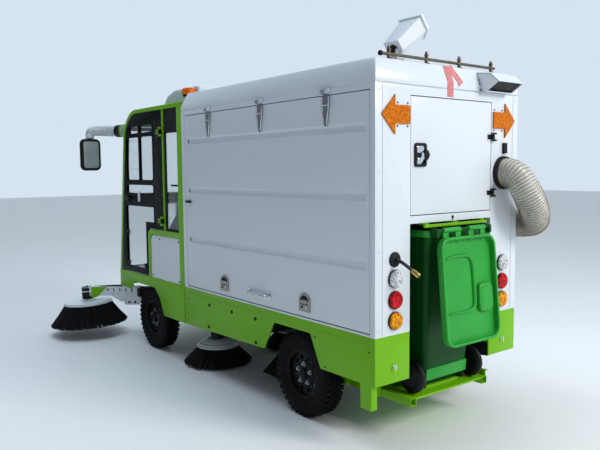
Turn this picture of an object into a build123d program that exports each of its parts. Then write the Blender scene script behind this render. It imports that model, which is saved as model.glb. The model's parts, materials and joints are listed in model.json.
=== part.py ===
"""Compact electric street sweeper with a wheeled suction bin at the back, in millimetres.

X runs forward, Y to the left and Z up. The origin is on the ground, in the middle of the overall box.
Places along the machine are measured ahead of the rear face and added to REAR.
"""
import os
from math import cos, radians, sin

from build123d import *

os.makedirs("parts", exist_ok=True)

# Main sizes
REAR = -2032.0            # rear face of the body, behind the origin
WIDTH = 1360.0            # over the white body and the skirts
HALF = WIDTH / 2
BODY_LENGTH = 2290.0      # rear face to the bulkhead's front
BULKHEAD = REAR + BODY_LENGTH - 60.0
CAB_BACK = REAR + BODY_LENGTH + 10.0
NOSE = CAB_BACK + 1350.0  # foot of the windscreen line
WALL = 40.0               # frame members of the body
SHEET = 12.0              # skirt sheets
DOOR_T = 30.0             # doors of the body and the cab
GAP = 5.0                 # round every door
RUN = 0.3                 # between turning parts and what carries them

# Heights
SKIRT_LOW = 390.0         # skirt's lower edge at the back
SKIRT_FRONT_LOW = 360.0   # and at the front
FLOOR = 600.0             # underside of the floors
FLOOR_T = 40.0
BELT = FLOOR + 80.0              # where green meets white
ROOF = 2295.0
LID_LINE = ROOF - 148.0   # foot of the roof lid
LID_CHAMFER = ROOF - 105.0  # where the lid's edge starts to slope in
LID_SLOPE_IN = 45.0
LID_T = 25.0

# Wheels
TYRE_R = 290.0
TYRE_W = 145.0
RIM_R = 160.0
RIM_WALL = 11.0
HUB_R = 46.0
STUB_R = 22.0
WHEEL_FACE = HALF - 24.0        # outer face of the tyre, from the middle
WHEEL_Y = WHEEL_FACE - TYRE_W / 2
REAR_AXLE = REAR + 736.0
FRONT_AXLE = CAB_BACK + 690.0
KINGPIN_Y = WHEEL_Y - 133.5
KINGPIN_R = 11.0

# Chassis
RAIL_IN = 200.0
RAIL_OUT = 250.0
RAIL_LOW = 380.0
RAIL_TOP = 460.0
BAY_HALF = HALF - 290.0   # half the width of the bin bay
REAR_RAIL_IN = BAY_HALF + 11.0
REAR_RAIL_OUT = REAR_RAIL_IN + 50.0
RAIL_JOIN = REAR + 1100.0  # where the rear rails step in to the main rails
RAIL_END = CAB_BACK + 1170.0
MEMBER = 60.0             # length of a crossmember along X

# Rear opening
BAY_TOP = 1330.0
BAY_WALL = 10.0
BAY_DEPTH = 650.0
REAR_DOOR_LOW = BAY_TOP + 46.0
REAR_DOOR_TOP = LID_LINE - 57.0
COLUMN_Y = HALF - 160.0   # lamps and hose port, from the middle
PORT_Y = -COLUMN_Y        # suction port on the rear face
PORT_Z = LID_LINE - 521.0
SIDE_PORT = REAR + 262.0  # suction port on the right side
SIDE_PORT_Z = PORT_Z - 376.0
HOSE_R = 98.0
COLLAR_T = 26.0
COLLAR_WALL = 14.0
HOSE_PANEL = 440.0        # fixed panel behind the right side door

# Side doors
SIDE_DOOR_LOW = BELT + 20.0
SIDE_DOOR_TOP = LID_LINE - 42.0
SIDE_DOOR_FRONT = BULKHEAD - GAP
HINGE_OUT = 18.0          # hinge axes stand this far outside the panels
SIDE_HINGE_Z = LID_LINE - 19.0
SWAGE_TALL = 60.0
SWAGE_DROP = 210.0        # from the door's top to the middle of the first swage
SWAGE_PITCH = 400.0
SWAGE_DEPTH = 12.0

# Cab
CAB_HALF = HALF - 5.0
CAB_ROOF = 2232.0
NOSE_Z = 667.0
RAKE = 0.1247             # the windscreen leans back this much for each unit up
BROW_R = 290.0            # bend from windscreen to roof
BAND = 37.0               # depth of the roof, pillars and header
PILLAR_IN = CAB_HALF - 36.0
HEADER_LOW = CAB_ROOF - 142.0       # windscreen's upper edge
GLASS_T = 6.0
POST_BACK = CAB_BACK + 337.0
POST_FRONT = POST_BACK + 24.0
REAR_PILLAR = CAB_BACK + 80.0
WAIST_LOW = 1075.0
WAIST_TOP = 1127.0
ARCH_FRONT = CAB_BACK + 690.0
ARCH_BORDER = 50.0
CAB_HINGE_X = POST_FRONT + 4.0

# Brushes
FRONT_BRUSH = (NOSE + 300.0, HALF + 230.0, 330.0)  # middle of the left disc
DISC_R = 240.0
DISC_T = 30.0
TIP_R = 385.0
BRISTLE = 205.0           # height of the bristles
BRISTLE_RING = 75.0       # width of the ring of bristles
BRUSH_TILT = 3.0          # outer side down, degrees
ARM_PIVOT = (NOSE - 55.0, HALF - 200.0, 440.0)
MID_BRUSH = (BULKHEAD - 30.0, HALF - 260.0)
MID_TIP_R = 300.0
MID_TIP_Z = 14.0
MID_DOME_R = 180.0
MID_DOME_LOW = 150.0
MID_DOME_TOP = 215.0

# Bin
BIN_FLOOR = 268.0
BIN_RIM = BAY_TOP - 50.0
BIN_WALL = 7.0
BIN_WHEEL_R = 105.0
BIN_WHEEL_T = 42.0
BIN_AXLE = (REAR + 78.0, 361.0)
LID_AXIS = (REAR - 90.0, BIN_RIM + 5.0)
LID_LEAN = 5.4            # the hanging lid leans out, degrees
LID_LONG = 705.0
LID_HALF = BAY_HALF - 132.0


def slab(x0, x1, y0, y1, z0, z1, mode=Mode.ADD):
    """A block between two corners, added to the part that is being built."""
    with Locations(((x0 + x1) / 2, (y0 + y1) / 2, (z0 + z1) / 2)):
        Box(x1 - x0, y1 - y0, z1 - z0, mode=mode)


def side(y):
    """A sketch plane seen from the left side, at this distance from the middle."""
    return Plane.XZ.offset(-y)


def save(builder, name):
    """Label a finished piece and write it to its own file."""
    builder.part.label = name
    export_step(builder.part, f"parts/{name}.step")


def save_mirrored(builder, name):
    """Write the right hand copy of a left hand piece."""
    with BuildPart() as other:
        mirror(builder.part, about=Plane.XZ)
    save(other, name)


def windscreen_x(z):
    """Front face of the cab at a height below the brow."""
    return NOSE - RAKE * (z - NOSE_Z)


# Chassis: rear rails outside the bin bay, main rails inside the wheels, crossmembers and brackets
CROSSBEAMS = (RAIL_JOIN + 30.0, REAR + 1700.0, BULKHEAD + 10.0)  # middle of each, carrying the body floor
CAB_BEAMS = (CAB_BACK + 120.0, RAIL_END - 30.0)
FRONT_MEMBER_HALF = HALF - 120.0
arm_x = FRONT_BRUSH[0] - ARM_PIVOT[0]
arm_y = FRONT_BRUSH[1] - ARM_PIVOT[1]
ARM_LENGTH = (arm_x ** 2 + arm_y ** 2) ** 0.5
ARM_DIR = (arm_x / ARM_LENGTH, arm_y / ARM_LENGTH)
ARM_PLANE = Plane(origin=ARM_PIVOT, x_dir=(ARM_DIR[0], ARM_DIR[1], 0), z_dir=(ARM_DIR[1], -ARM_DIR[0], 0))
PIVOT_R = 12.0
TOW_EYE = RAIL_END + MEMBER + 40.0  # towing plate with a hole for a pin
TOW_R = 15.0
TOW_T = 20.0
TOW_Z = 425.0
CHEEK_AT = 46.0           # inner faces of the pivot's cheeks
CHEEK_T = 8.0
CHEEK_LONG = 190.0
CHEEK_FRONT = 20.0
CHEEK_TALL = 70.0

with BuildPart() as chassis_frame:
    slab(RAIL_JOIN, RAIL_END, RAIL_IN, RAIL_OUT, RAIL_LOW, RAIL_TOP)
    slab(REAR + 20, RAIL_JOIN + MEMBER, REAR_RAIL_IN, REAR_RAIL_OUT, RAIL_LOW, RAIL_TOP)
    with BuildSketch(ARM_PLANE.offset(CHEEK_AT)):
        with Locations((CHEEK_FRONT - CHEEK_LONG / 2, 0)):
            Rectangle(CHEEK_LONG, CHEEK_TALL)
    extrude(amount=CHEEK_T)
    with BuildSketch(ARM_PLANE.offset(-CHEEK_AT)):
        with Locations((CHEEK_FRONT - CHEEK_LONG / 2, 0)):
            Rectangle(CHEEK_LONG, CHEEK_TALL)
    extrude(amount=-CHEEK_T)
    with BuildSketch(ARM_PLANE):
        Circle(PIVOT_R)
    extrude(amount=CHEEK_AT + CHEEK_T, both=True)
    mirror(about=Plane.XZ)
    slab(RAIL_JOIN, RAIL_JOIN + MEMBER, -REAR_RAIL_OUT, REAR_RAIL_OUT, RAIL_LOW, RAIL_TOP)
    for middle in CROSSBEAMS:
        slab(middle - MEMBER / 2, middle + MEMBER / 2, -HALF + WALL, HALF - WALL, RAIL_TOP + 40, FLOOR)
        slab(middle - MEMBER / 2, middle + MEMBER / 2, -RAIL_OUT, RAIL_OUT, RAIL_LOW + 20, RAIL_TOP + 40)
    for middle in CAB_BEAMS:
        slab(middle - MEMBER / 2, middle + MEMBER / 2, -RAIL_OUT, RAIL_OUT, RAIL_LOW + 20, FLOOR)
    slab(RAIL_END, RAIL_END + MEMBER, -FRONT_MEMBER_HALF, FRONT_MEMBER_HALF, RAIL_LOW + 20, RAIL_TOP + 20)
    slab(RAIL_END + MEMBER, TOW_EYE + 2 * TOW_R, -3 * TOW_R, 3 * TOW_R, TOW_Z, TOW_Z + TOW_T)
    with Locations((TOW_EYE, 0, TOW_Z + TOW_T / 2)):
        Cylinder(TOW_R, TOW_T, mode=Mode.SUBTRACT)
save(chassis_frame, "chassis_frame")

# Front axle beam with a fork at each end for the knuckle, and leaf springs under the rails
FORK_GAP = 28.0           # half the height between the fork's arms
FORK_T = 22.0
FORK_R = 30.0
BEAM = 56.0
SPRING_W = 45.0
SPRING_T = 24.0
FRONT_SPRING = 420.0      # half length
with BuildPart() as front_axle:
    slab(FRONT_AXLE - BEAM / 2, FRONT_AXLE + BEAM / 2, 0, KINGPIN_Y - 50, TYRE_R - BEAM / 2, TYRE_R + BEAM / 2)
    slab(FRONT_AXLE - FORK_R, FRONT_AXLE + FORK_R, KINGPIN_Y - 66, KINGPIN_Y - 44,
         TYRE_R - FORK_GAP - FORK_T, TYRE_R + FORK_GAP + FORK_T)
    for z in (TYRE_R + FORK_GAP + FORK_T / 2, TYRE_R - FORK_GAP - FORK_T / 2):
        with Locations((FRONT_AXLE, KINGPIN_Y, z)):
            Cylinder(FORK_R, FORK_T)
        slab(FRONT_AXLE - FORK_R, FRONT_AXLE + FORK_R, KINGPIN_Y - 50, KINGPIN_Y, z - FORK_T / 2, z + FORK_T / 2)
    with Locations((FRONT_AXLE, KINGPIN_Y, TYRE_R)):
        Cylinder(KINGPIN_R, 2 * (FORK_GAP + FORK_T))
    spring_y = (RAIL_IN + RAIL_OUT) / 2
    slab(FRONT_AXLE - FRONT_SPRING, FRONT_AXLE + FRONT_SPRING, spring_y - SPRING_W / 2, spring_y + SPRING_W / 2,
         TYRE_R + BEAM / 2, TYRE_R + BEAM / 2 + SPRING_T)
    for end in (-FRONT_SPRING, FRONT_SPRING - 40):
        slab(FRONT_AXLE + end, FRONT_AXLE + end + 40, spring_y - SPRING_W / 2, spring_y + SPRING_W / 2,
             TYRE_R + BEAM / 2, RAIL_LOW)
    mirror(about=Plane.XZ)
save(front_axle, "front_axle")

# Knuckle: barrel on the kingpin, spindle out to the wheel
BARREL_R = 26.0
with BuildPart() as knuckle_left:
    with Locations((FRONT_AXLE, KINGPIN_Y, TYRE_R)):
        Cylinder(BARREL_R, 2 * FORK_GAP - 4)
    with BuildSketch(side(KINGPIN_Y)):
        with Locations((FRONT_AXLE, TYRE_R)):
            Circle(STUB_R)
    extrude(amount=-(WHEEL_Y + 30 - KINGPIN_Y))
    with BuildSketch(side(KINGPIN_Y + FORK_R + GAP)):
        with Locations((FRONT_AXLE, TYRE_R)):
            Circle(STUB_R + 14)
    extrude(amount=-24)
    with Locations((FRONT_AXLE, KINGPIN_Y, TYRE_R)):
        Cylinder(KINGPIN_R + RUN, 4 * FORK_GAP, mode=Mode.SUBTRACT)
save(knuckle_left, "knuckle_left")
save_mirrored(knuckle_left, "knuckle_right")

# Rear axle: tube, final drive, motor and leaf springs under the rear rails
TUBE_R = 36.0
DRIVE_R = 115.0
REAR_SPRING = 330.0
with BuildPart() as rear_axle:
    with BuildSketch(side(WHEEL_Y + 30)):
        with Locations((REAR_AXLE, TYRE_R)):
            Circle(STUB_R)
    extrude(amount=2 * (WHEEL_Y + 30))
    with BuildSketch(side(WHEEL_Y - 70)):
        with Locations((REAR_AXLE, TYRE_R)):
            Circle(TUBE_R)
    extrude(amount=2 * (WHEEL_Y - 70))
    with BuildSketch(side(80)):
        with Locations((REAR_AXLE, TYRE_R)):
            Circle(DRIVE_R)
    extrude(amount=160)
    with BuildSketch(Plane.YZ.offset(REAR_AXLE + 60)):
        with Locations((0, TYRE_R + 10)):
            Circle(90)
    extrude(amount=270)
    spring_y = (REAR_RAIL_IN + REAR_RAIL_OUT) / 2
    for way in (-1, 1):
        y = way * spring_y
        slab(REAR_AXLE - REAR_SPRING, REAR_AXLE + REAR_SPRING, y - SPRING_W / 2, y + SPRING_W / 2,
             TYRE_R + TUBE_R - 4, TYRE_R + TUBE_R + SPRING_T)
        for end in (-REAR_SPRING, REAR_SPRING - 40):
            slab(REAR_AXLE + end, REAR_AXLE + end + 40, y - SPRING_W / 2, y + SPRING_W / 2,
                 TYRE_R + TUBE_R, RAIL_LOW)
save(rear_axle, "rear_axle")


# Wheels: name, place along the machine; the right hand ones are mirrored
def wheel_plane(x):
    """Half section of a wheel: across the machine, and out from the axle."""
    return Plane(origin=(x, WHEEL_Y, TYRE_R), x_dir=(0, 1, 0), z_dir=(1, 0, 0))


for wheel, x in (("front", FRONT_AXLE), ("rear", REAR_AXLE)):
    axle = Axis((x, 0, TYRE_R), (0, 1, 0))
    bead = TYRE_W / 2 - 14
    with BuildPart() as tyre:
        with BuildSketch(wheel_plane(x)):
            with BuildLine():
                Polyline((bead, TYRE_R - 20), (bead - 12, TYRE_R), (12 - bead, TYRE_R), (-bead, TYRE_R - 20))
                ThreePointArc((-bead, TYRE_R - 20), (-TYRE_W / 2, 225), (-bead, RIM_R + RUN))
                Line((-bead, RIM_R + RUN), (bead, RIM_R + RUN))
                ThreePointArc((bead, RIM_R + RUN), (TYRE_W / 2, 225), (bead, TYRE_R - 20))
            make_face()
        revolve(axis=axle)
    save(tyre, f"tyre_{wheel}_left")
    save_mirrored(tyre, f"tyre_{wheel}_right")
    with BuildPart() as rim:
        with BuildSketch(wheel_plane(x)):
            with Locations((0, RIM_R - RIM_WALL / 2)):
                Rectangle(2 * bead, RIM_WALL)
            with Locations((26, (RIM_R + STUB_R) / 2)):
                Rectangle(9, RIM_R - STUB_R - 2 * RUN)
            with Locations((20, (HUB_R + STUB_R + RUN) / 2)):
                Rectangle(52, HUB_R - STUB_R - RUN)
        revolve(axis=axle)
    save(rim, f"rim_{wheel}_left")
    save_mirrored(rim, f"rim_{wheel}_right")

# Body floor, cut away at the bin bay, and the bulkhead behind the cab
with BuildPart() as body_floor:
    slab(REAR + SHEET, REAR + BODY_LENGTH, -HALF + SHEET, HALF - SHEET, FLOOR, FLOOR + FLOOR_T)
    slab(REAR, REAR + BAY_DEPTH, -BAY_HALF - BAY_WALL, BAY_HALF + BAY_WALL, FLOOR, FLOOR + FLOOR_T,
         mode=Mode.SUBTRACT)
save(body_floor, "body_floor")

with BuildPart() as bulkhead:
    slab(BULKHEAD, REAR + BODY_LENGTH, -HALF, HALF, BELT, LID_LINE)
    slab(BULKHEAD, REAR + BODY_LENGTH, -HALF + SHEET, HALF - SHEET, FLOOR + FLOOR_T, BELT)
save(bulkhead, "bulkhead")

# Side rails: sills and top rails, with the hinge lugs of the side doors
STRAP_FRONT = SIDE_DOOR_FRONT - 383.0
STRAP_BACK = REAR + 424.0
STRAP_MIDDLE = (STRAP_FRONT + STRAP_BACK) / 2
STRAPS_LEFT = (STRAP_FRONT, STRAP_MIDDLE, STRAP_BACK)
STRAPS_RIGHT = (STRAP_FRONT, STRAP_MIDDLE, REAR + HOSE_PANEL + 180.0)
EYE_R = 10.0
EYE_HALF = 21.0
LUG = 16.0
PIN_R = 5.0               # hinge pins, fixed in the lugs
with BuildPart() as body_rails:
    for way, straps in ((1, STRAPS_LEFT), (-1, STRAPS_RIGHT)):
        inner, outer = sorted((way * (HALF - WALL), way * HALF))
        slab(REAR + WALL, BULKHEAD, inner, outer, BELT, SIDE_DOOR_LOW - GAP)
        low, high = sorted((way * (HALF - WALL), way * (HALF - SHEET)))
        slab(REAR + WALL, BULKHEAD, low, high, FLOOR + FLOOR_T, BELT)
        slab(REAR + WALL, BULKHEAD, inner, outer, SIDE_DOOR_TOP + GAP, LID_LINE)
        for x in straps:
            for edge in (EYE_HALF + 1, -EYE_HALF - 1 - LUG):
                low, high = sorted((way * HALF, way * (HALF + HINGE_OUT + 12)))
                slab(x + edge, x + edge + LUG, low, high, SIDE_HINGE_Z - 12, LID_LINE)
            with BuildSketch(Plane.YZ.offset(x)):
                with Locations((way * (HALF + HINGE_OUT), SIDE_HINGE_Z)):
                    Circle(PIN_R)
            extrude(amount=EYE_HALF + LUG, both=True)
save(body_rails, "body_rails")

# Hinges of the rear door
REAR_HINGES = (REAR_DOOR_TOP - 228.0, REAR_DOOR_LOW + 119.0)
REAR_HINGE_X = REAR - 12.0
REAR_HINGE_Y = -BAY_HALF + 2.0
REAR_BARREL = 15.0        # half the barrel's length
REAR_LUG = 10.0
REAR_PIN_R = 4.0

# Rear frame: columns beside the alcove, strips above and below the door, and the panel for the hose
with BuildPart() as rear_frame:
    slab(REAR, REAR + WALL, -HALF, HALF, BELT, LID_LINE)
    slab(REAR, REAR + WALL, -BAY_HALF, BAY_HALF, BELT, BAY_TOP, mode=Mode.SUBTRACT)
    slab(REAR, REAR + WALL, -BAY_HALF, BAY_HALF, REAR_DOOR_LOW, REAR_DOOR_TOP, mode=Mode.SUBTRACT)
    slab(REAR + WALL, REAR + HOSE_PANEL, -HALF, -HALF + DOOR_T, SIDE_DOOR_LOW - GAP, SIDE_DOOR_TOP + GAP)
    for z in REAR_HINGES:
        for low in (z + REAR_BARREL + 2, z - REAR_BARREL - 2 - REAR_LUG):
            slab(REAR - 20, REAR - 7, -BAY_HALF - 30, REAR_HINGE_Y + 5, low, low + REAR_LUG)
            slab(REAR - 20, REAR, -BAY_HALF - 30, -BAY_HALF - 1, low, low + REAR_LUG)
        with Locations((REAR_HINGE_X, REAR_HINGE_Y, z)):
            Cylinder(REAR_PIN_R, 2 * (REAR_BARREL + REAR_LUG))
save(rear_frame, "rear_frame")

# Bin bay: two walls, a ceiling and a front wall
with BuildPart() as bin_bay:
    slab(REAR + WALL, REAR + BAY_DEPTH, -BAY_HALF - BAY_WALL, BAY_HALF + BAY_WALL, RAIL_LOW, BAY_TOP + BAY_WALL)
    slab(REAR, REAR + BAY_DEPTH - BAY_WALL, -BAY_HALF, BAY_HALF, 0, BAY_TOP, mode=Mode.SUBTRACT)
save(bin_bay, "bin_bay")

# Roof lid, a shell with sloped edges
with BuildPart() as roof_lid:
    for inset, low, top, mode in ((0, LID_LINE, ROOF, Mode.ADD), (LID_T, LID_LINE, ROOF - LID_T, Mode.SUBTRACT)):
        length = BODY_LENGTH - 2 * inset
        width = WIDTH - 2 * inset
        middle = REAR + BODY_LENGTH / 2
        with BuildSketch(Plane.XY.offset(low)):
            with Locations((middle, 0)):
                Rectangle(length, width)
        extrude(amount=LID_CHAMFER - low, mode=mode)
        with BuildSketch(Plane.XY.offset(LID_CHAMFER)):
            with Locations((middle, 0)):
                Rectangle(length, width)
        with BuildSketch(Plane.XY.offset(top)):
            with Locations((middle, 0)):
                Rectangle(length - 2 * LID_SLOPE_IN, width - 2 * LID_SLOPE_IN)
        loft(mode=mode)
save(roof_lid, "roof_lid")

# Skirts: a sheet each side with the wheel arch cut out, returned across the rear corner, with a rear left leg
ARCH = ((496.0, SKIRT_LOW), (600.0, FLOOR), (1001.0, FLOOR), (1124.0, SKIRT_LOW))  # ahead of rear face, height
LEG = (33.0, 126.0, 240.0)  # rear and front side, lower end
with BuildPart() as skirts:
    with BuildSketch(side(HALF)):
        with BuildLine():
            Polyline((REAR, SKIRT_LOW), *[(REAR + x, z) for x, z in ARCH],
                     (REAR + BODY_LENGTH, SKIRT_FRONT_LOW), (REAR + BODY_LENGTH, BELT), (REAR, BELT), close=True)
        make_face()
    extrude(amount=SHEET)
    slab(REAR, REAR + SHEET, BAY_HALF, HALF, SKIRT_LOW, BELT)
    mirror(about=Plane.XZ)
    slab(REAR + LEG[0], REAR + LEG[1], HALF - 50, HALF, LEG[2], SKIRT_LOW + 30)
save(skirts, "skirts")


# Side doors: swaged panel with strap hinges on top, two paddle latches and a pull handle below
LATCH_Z = SIDE_DOOR_LOW + 97.0
LATCH_HALF = 70.0
LATCH_DOWN = 62.0
LATCHES = (SIDE_DOOR_FRONT - 587.0, REAR + 648.0)
HANDLE = (SIDE_DOOR_FRONT - 1185.0, SIDE_DOOR_FRONT - 915.0, LATCH_Z - 20.0)
STRAP_T = 6.0
STRAP_LOW = SIDE_HINGE_Z - 208.0
SWAGE_FRONT = SIDE_DOOR_FRONT - 65.0


def side_door(back, straps):
    """The left hand door from its rear edge, with straps at these places."""
    with BuildPart() as door:
        slab(back, SIDE_DOOR_FRONT, HALF - DOOR_T, HALF, SIDE_DOOR_LOW, SIDE_DOOR_TOP)
        for row in range(int((SIDE_DOOR_TOP - LATCH_Z) / SWAGE_PITCH)):
            z = SIDE_DOOR_TOP - SWAGE_DROP - row * SWAGE_PITCH
            slab(back + 30, SWAGE_FRONT, HALF - SWAGE_DEPTH, HALF, z - SWAGE_TALL / 2, z + SWAGE_TALL / 2,
                 mode=Mode.SUBTRACT)
        for x in straps:
            slab(x - EYE_HALF + 1, x + EYE_HALF - 1, HALF, HALF + STRAP_T, STRAP_LOW, SIDE_HINGE_Z)
            with BuildSketch(Plane.YZ.offset(x - EYE_HALF)):
                with Locations((HALF + HINGE_OUT, SIDE_HINGE_Z)):
                    Circle(EYE_R)
                with Locations((HALF + (HINGE_OUT + 1) / 2, SIDE_HINGE_Z - EYE_R + 3)):
                    Rectangle(HINGE_OUT - 1, 6)
            extrude(amount=2 * EYE_HALF)
            with BuildSketch(Plane.YZ.offset(x - EYE_HALF)):
                with Locations((HALF + HINGE_OUT, SIDE_HINGE_Z)):
                    Circle(PIN_R + RUN)
            extrude(amount=2 * EYE_HALF, mode=Mode.SUBTRACT)
        for x in LATCHES:
            slab(x - LATCH_HALF, x + LATCH_HALF, HALF, HALF + 8, LATCH_Z - LATCH_DOWN, LATCH_Z + LATCH_DOWN)
        for x in (HANDLE[0], HANDLE[1] - 30):
            slab(x, x + 30, HALF, HALF + 40, HANDLE[2] - 12, HANDLE[2] + 12)
        slab(HANDLE[0], HANDLE[1], HALF + 26, HALF + 44, HANDLE[2] - 12, HANDLE[2] + 12)
    return door


side_door_left = side_door(REAR + WALL + GAP, STRAPS_LEFT)
save(side_door_left, "side_door_left")
save_mirrored(side_door(REAR + HOSE_PANEL + GAP, STRAPS_RIGHT), "side_door_right")

# Rear door, hinged on its right edge, with a paddle latch
REAR_DOOR_HALF = BAY_HALF - GAP
with BuildPart() as rear_door:
    slab(REAR, REAR + DOOR_T, -REAR_DOOR_HALF, REAR_DOOR_HALF, REAR_DOOR_LOW + GAP, REAR_DOOR_TOP - GAP)
    slab(REAR - 14, REAR, BAY_HALF - 122, BAY_HALF - 72, REAR_DOOR_TOP - 400, REAR_DOOR_TOP - 300)
    for z in REAR_HINGES:
        with Locations((REAR_HINGE_X, REAR_HINGE_Y, z)):
            Cylinder(2 * REAR_PIN_R, 2 * REAR_BARREL)
        slab(REAR - 5, REAR, REAR_HINGE_Y + 6, REAR_HINGE_Y + 40, z - REAR_BARREL, z + REAR_BARREL)
        slab(REAR - 16, REAR, REAR_HINGE_Y + 5, REAR_HINGE_Y + 10, z - REAR_BARREL, z + REAR_BARREL)
        with Locations((REAR_HINGE_X, REAR_HINGE_Y, z)):
            Cylinder(REAR_PIN_R + RUN, 2 * REAR_BARREL, mode=Mode.SUBTRACT)
save(rear_door, "rear_door")

# Rear lights: three round lamps on each column and an arrow sign above them
LAMP_R = 55.0
LAMP_T = 32.0
LAMP_Z = (1015.0, 889.0, 765.0)  # clear, red, amber
ARROW = ((47.0, 175.0), (153.0, 65.0), (153.0, 122.0), (278.0, 122.0),
         (278.0, 227.0), (153.0, 227.0), (153.0, 286.0))  # in from the side, down from the lid
ARROW_T = 10.0
with BuildPart() as rear_lights:
    with BuildSketch(Plane.YZ.offset(REAR)):
        for z in LAMP_Z:
            with Locations((COLUMN_Y, z)):
                Circle(LAMP_R)
    extrude(amount=-LAMP_T)
    with BuildSketch(Plane.YZ.offset(REAR)):
        Polygon(*[(HALF - inward, LID_LINE - drop) for inward, drop in ARROW], align=None)
    extrude(amount=-ARROW_T)
    mirror(about=Plane.XZ)
save(rear_lights, "rear_lights")

# Suction hose round the rear right corner, from the rear port to the side port
HOSE_END = 16.0           # how far the hose's ends stay outside the panels
HOSE_OUT = -HALF - 200.0        # the hose's run beside the right panel
HOSE_ROUTE = ((REAR - HOSE_END, PORT_Y, PORT_Z), (REAR - 95, PORT_Y, PORT_Z),
              (REAR - 165, PORT_Y - 30, PORT_Z - 120), (REAR - 165, PORT_Y - 120, PORT_Z - 240),
              (REAR - 95, PORT_Y - 260, PORT_Z - 335), (REAR + 60, HOSE_OUT, SIDE_PORT_Z + 8),
              (SIDE_PORT, HOSE_OUT, SIDE_PORT_Z), (SIDE_PORT, -HALF - HOSE_END, SIDE_PORT_Z))
HOSE_BENDS = (105.0, 150.0, 150.0, 160.0, 150.0, 105.0)
with BuildPart() as suction_hose:
    with BuildLine():
        FilletPolyline(*HOSE_ROUTE, radius=HOSE_BENDS)
    with BuildSketch(Plane(origin=HOSE_ROUTE[0], z_dir=(-1, 0, 0))):
        Circle(HOSE_R)
    sweep()
save(suction_hose, "suction_hose")

# Collars: the hose's two ports and the gland of the washer hose
GLAND = (REAR, COLUMN_Y + 2.0, 1129.0)
GLAND_R = 45.0
GLAND_T = 24.0
WASHER_R = 11.0
with BuildPart() as rear_collars:
    with BuildSketch(Plane(origin=(REAR, PORT_Y, PORT_Z), z_dir=(-1, 0, 0))):
        Circle(HOSE_R + COLLAR_WALL)
        Circle(HOSE_R + RUN, mode=Mode.SUBTRACT)
    extrude(amount=COLLAR_T)
    with BuildSketch(Plane(origin=(SIDE_PORT, -HALF, SIDE_PORT_Z), z_dir=(0, -1, 0))):
        Circle(HOSE_R + COLLAR_WALL)
        Circle(HOSE_R + RUN, mode=Mode.SUBTRACT)
    extrude(amount=COLLAR_T)
    with BuildSketch(Plane(origin=(REAR, PORT_Y, PORT_Z), z_dir=(-1, 0, 0))):
        Circle(HOSE_R + RUN)
    extrude(amount=HOSE_END)
    with BuildSketch(Plane(origin=(SIDE_PORT, -HALF, SIDE_PORT_Z), z_dir=(0, -1, 0))):
        Circle(HOSE_R + RUN)
    extrude(amount=HOSE_END)
    with BuildSketch(Plane(origin=GLAND, z_dir=(-1, 0, 0))):
        Circle(GLAND_R)
    extrude(amount=GLAND_T)
save(rear_collars, "rear_collars")

# Washer hose: a short length of free hose with a brass coupling on its end
WASHER_ROUTE = ((REAR - GLAND_T, GLAND[1], GLAND[2]), (REAR - 46, GLAND[1], GLAND[2]),
                (REAR - 136, GLAND[1] - 17, GLAND[2] - 58))
WASHER_BEND = 60.0
COUPLING_R = 15.0
COUPLING_T = 42.0
with BuildPart() as washer_hose:
    with BuildLine():
        FilletPolyline(*WASHER_ROUTE, radius=WASHER_BEND)
    with BuildSketch(Plane(origin=WASHER_ROUTE[0], z_dir=(-1, 0, 0))):
        Circle(WASHER_R)
    sweep()
save(washer_hose, "washer_hose")
with BuildPart() as washer_coupling:
    with BuildSketch(Plane(origin=WASHER_ROUTE[-1],
                           z_dir=Vector(*WASHER_ROUTE[-1]) - Vector(*WASHER_ROUTE[-2]))):
        Circle(COUPLING_R)
    extrude(amount=COUPLING_T)
save(washer_coupling, "washer_coupling")

# Roof fittings: vent hood on the lid's rear, spray bar on its posts
HOOD = (-HALF + 140.0, -HALF + 410.0)  # right and left side
HOOD_WALL = 5.0
HOOD_BACK = ROOF - 20.0   # upper edge on the lid's slope
HOOD_SLOPE = LID_SLOPE_IN * (HOOD_BACK - LID_CHAMFER) / (ROOF - LID_CHAMFER)
HOOD_OUTSIDE = ((HOOD_SLOPE, HOOD_BACK), (-70.0, ROOF - 33.0), (-135.0, ROOF - 89.0), (-50.0, ROOF - 143.0),
                (0.0, ROOF - 143.0), (0.0, LID_CHAMFER))  # ahead of the rear face, height
HOOD_HOLLOW = ((-6.0, ROOF - 33.0), (-67.0, ROOF - 41.0), (-141.0, ROOF - 105.0), (-56.0, ROOF - 159.0),
               (-44.0, ROOF - 137.0), (-6.0, ROOF - 137.0))
BAR = (REAR + 62.0, ROOF + 27.0)
BAR_R = 12.0
BAR_ENDS = (-HALF + 190.0, HALF - 100.0)
POSTS = (HALF - 170.0, 185.0, -125.0, -HALF + 225.0)
POST_TOP = ROOF + 73.0
with BuildPart() as roof_fittings:
    with BuildSketch(side(HOOD[1])):
        Polygon(*[(REAR + x, z) for x, z in HOOD_OUTSIDE], align=None)
    extrude(amount=HOOD[1] - HOOD[0])
    with BuildSketch(side(HOOD[1] - HOOD_WALL)):
        Polygon(*[(REAR + x, z) for x, z in HOOD_HOLLOW], align=None)
    extrude(amount=HOOD[1] - HOOD[0] - 2 * HOOD_WALL, mode=Mode.SUBTRACT)
    with BuildSketch(side(BAR_ENDS[1])):
        with Locations(BAR):
            Circle(BAR_R)
    extrude(amount=BAR_ENDS[1] - BAR_ENDS[0])
    for y in POSTS:
        with BuildSketch(Plane.XY.offset(ROOF)):
            with Locations((BAR[0], y)):
                Circle(BAR_R - 3)
        extrude(amount=POST_TOP - ROOF)
save(roof_fittings, "roof_fittings")

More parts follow.
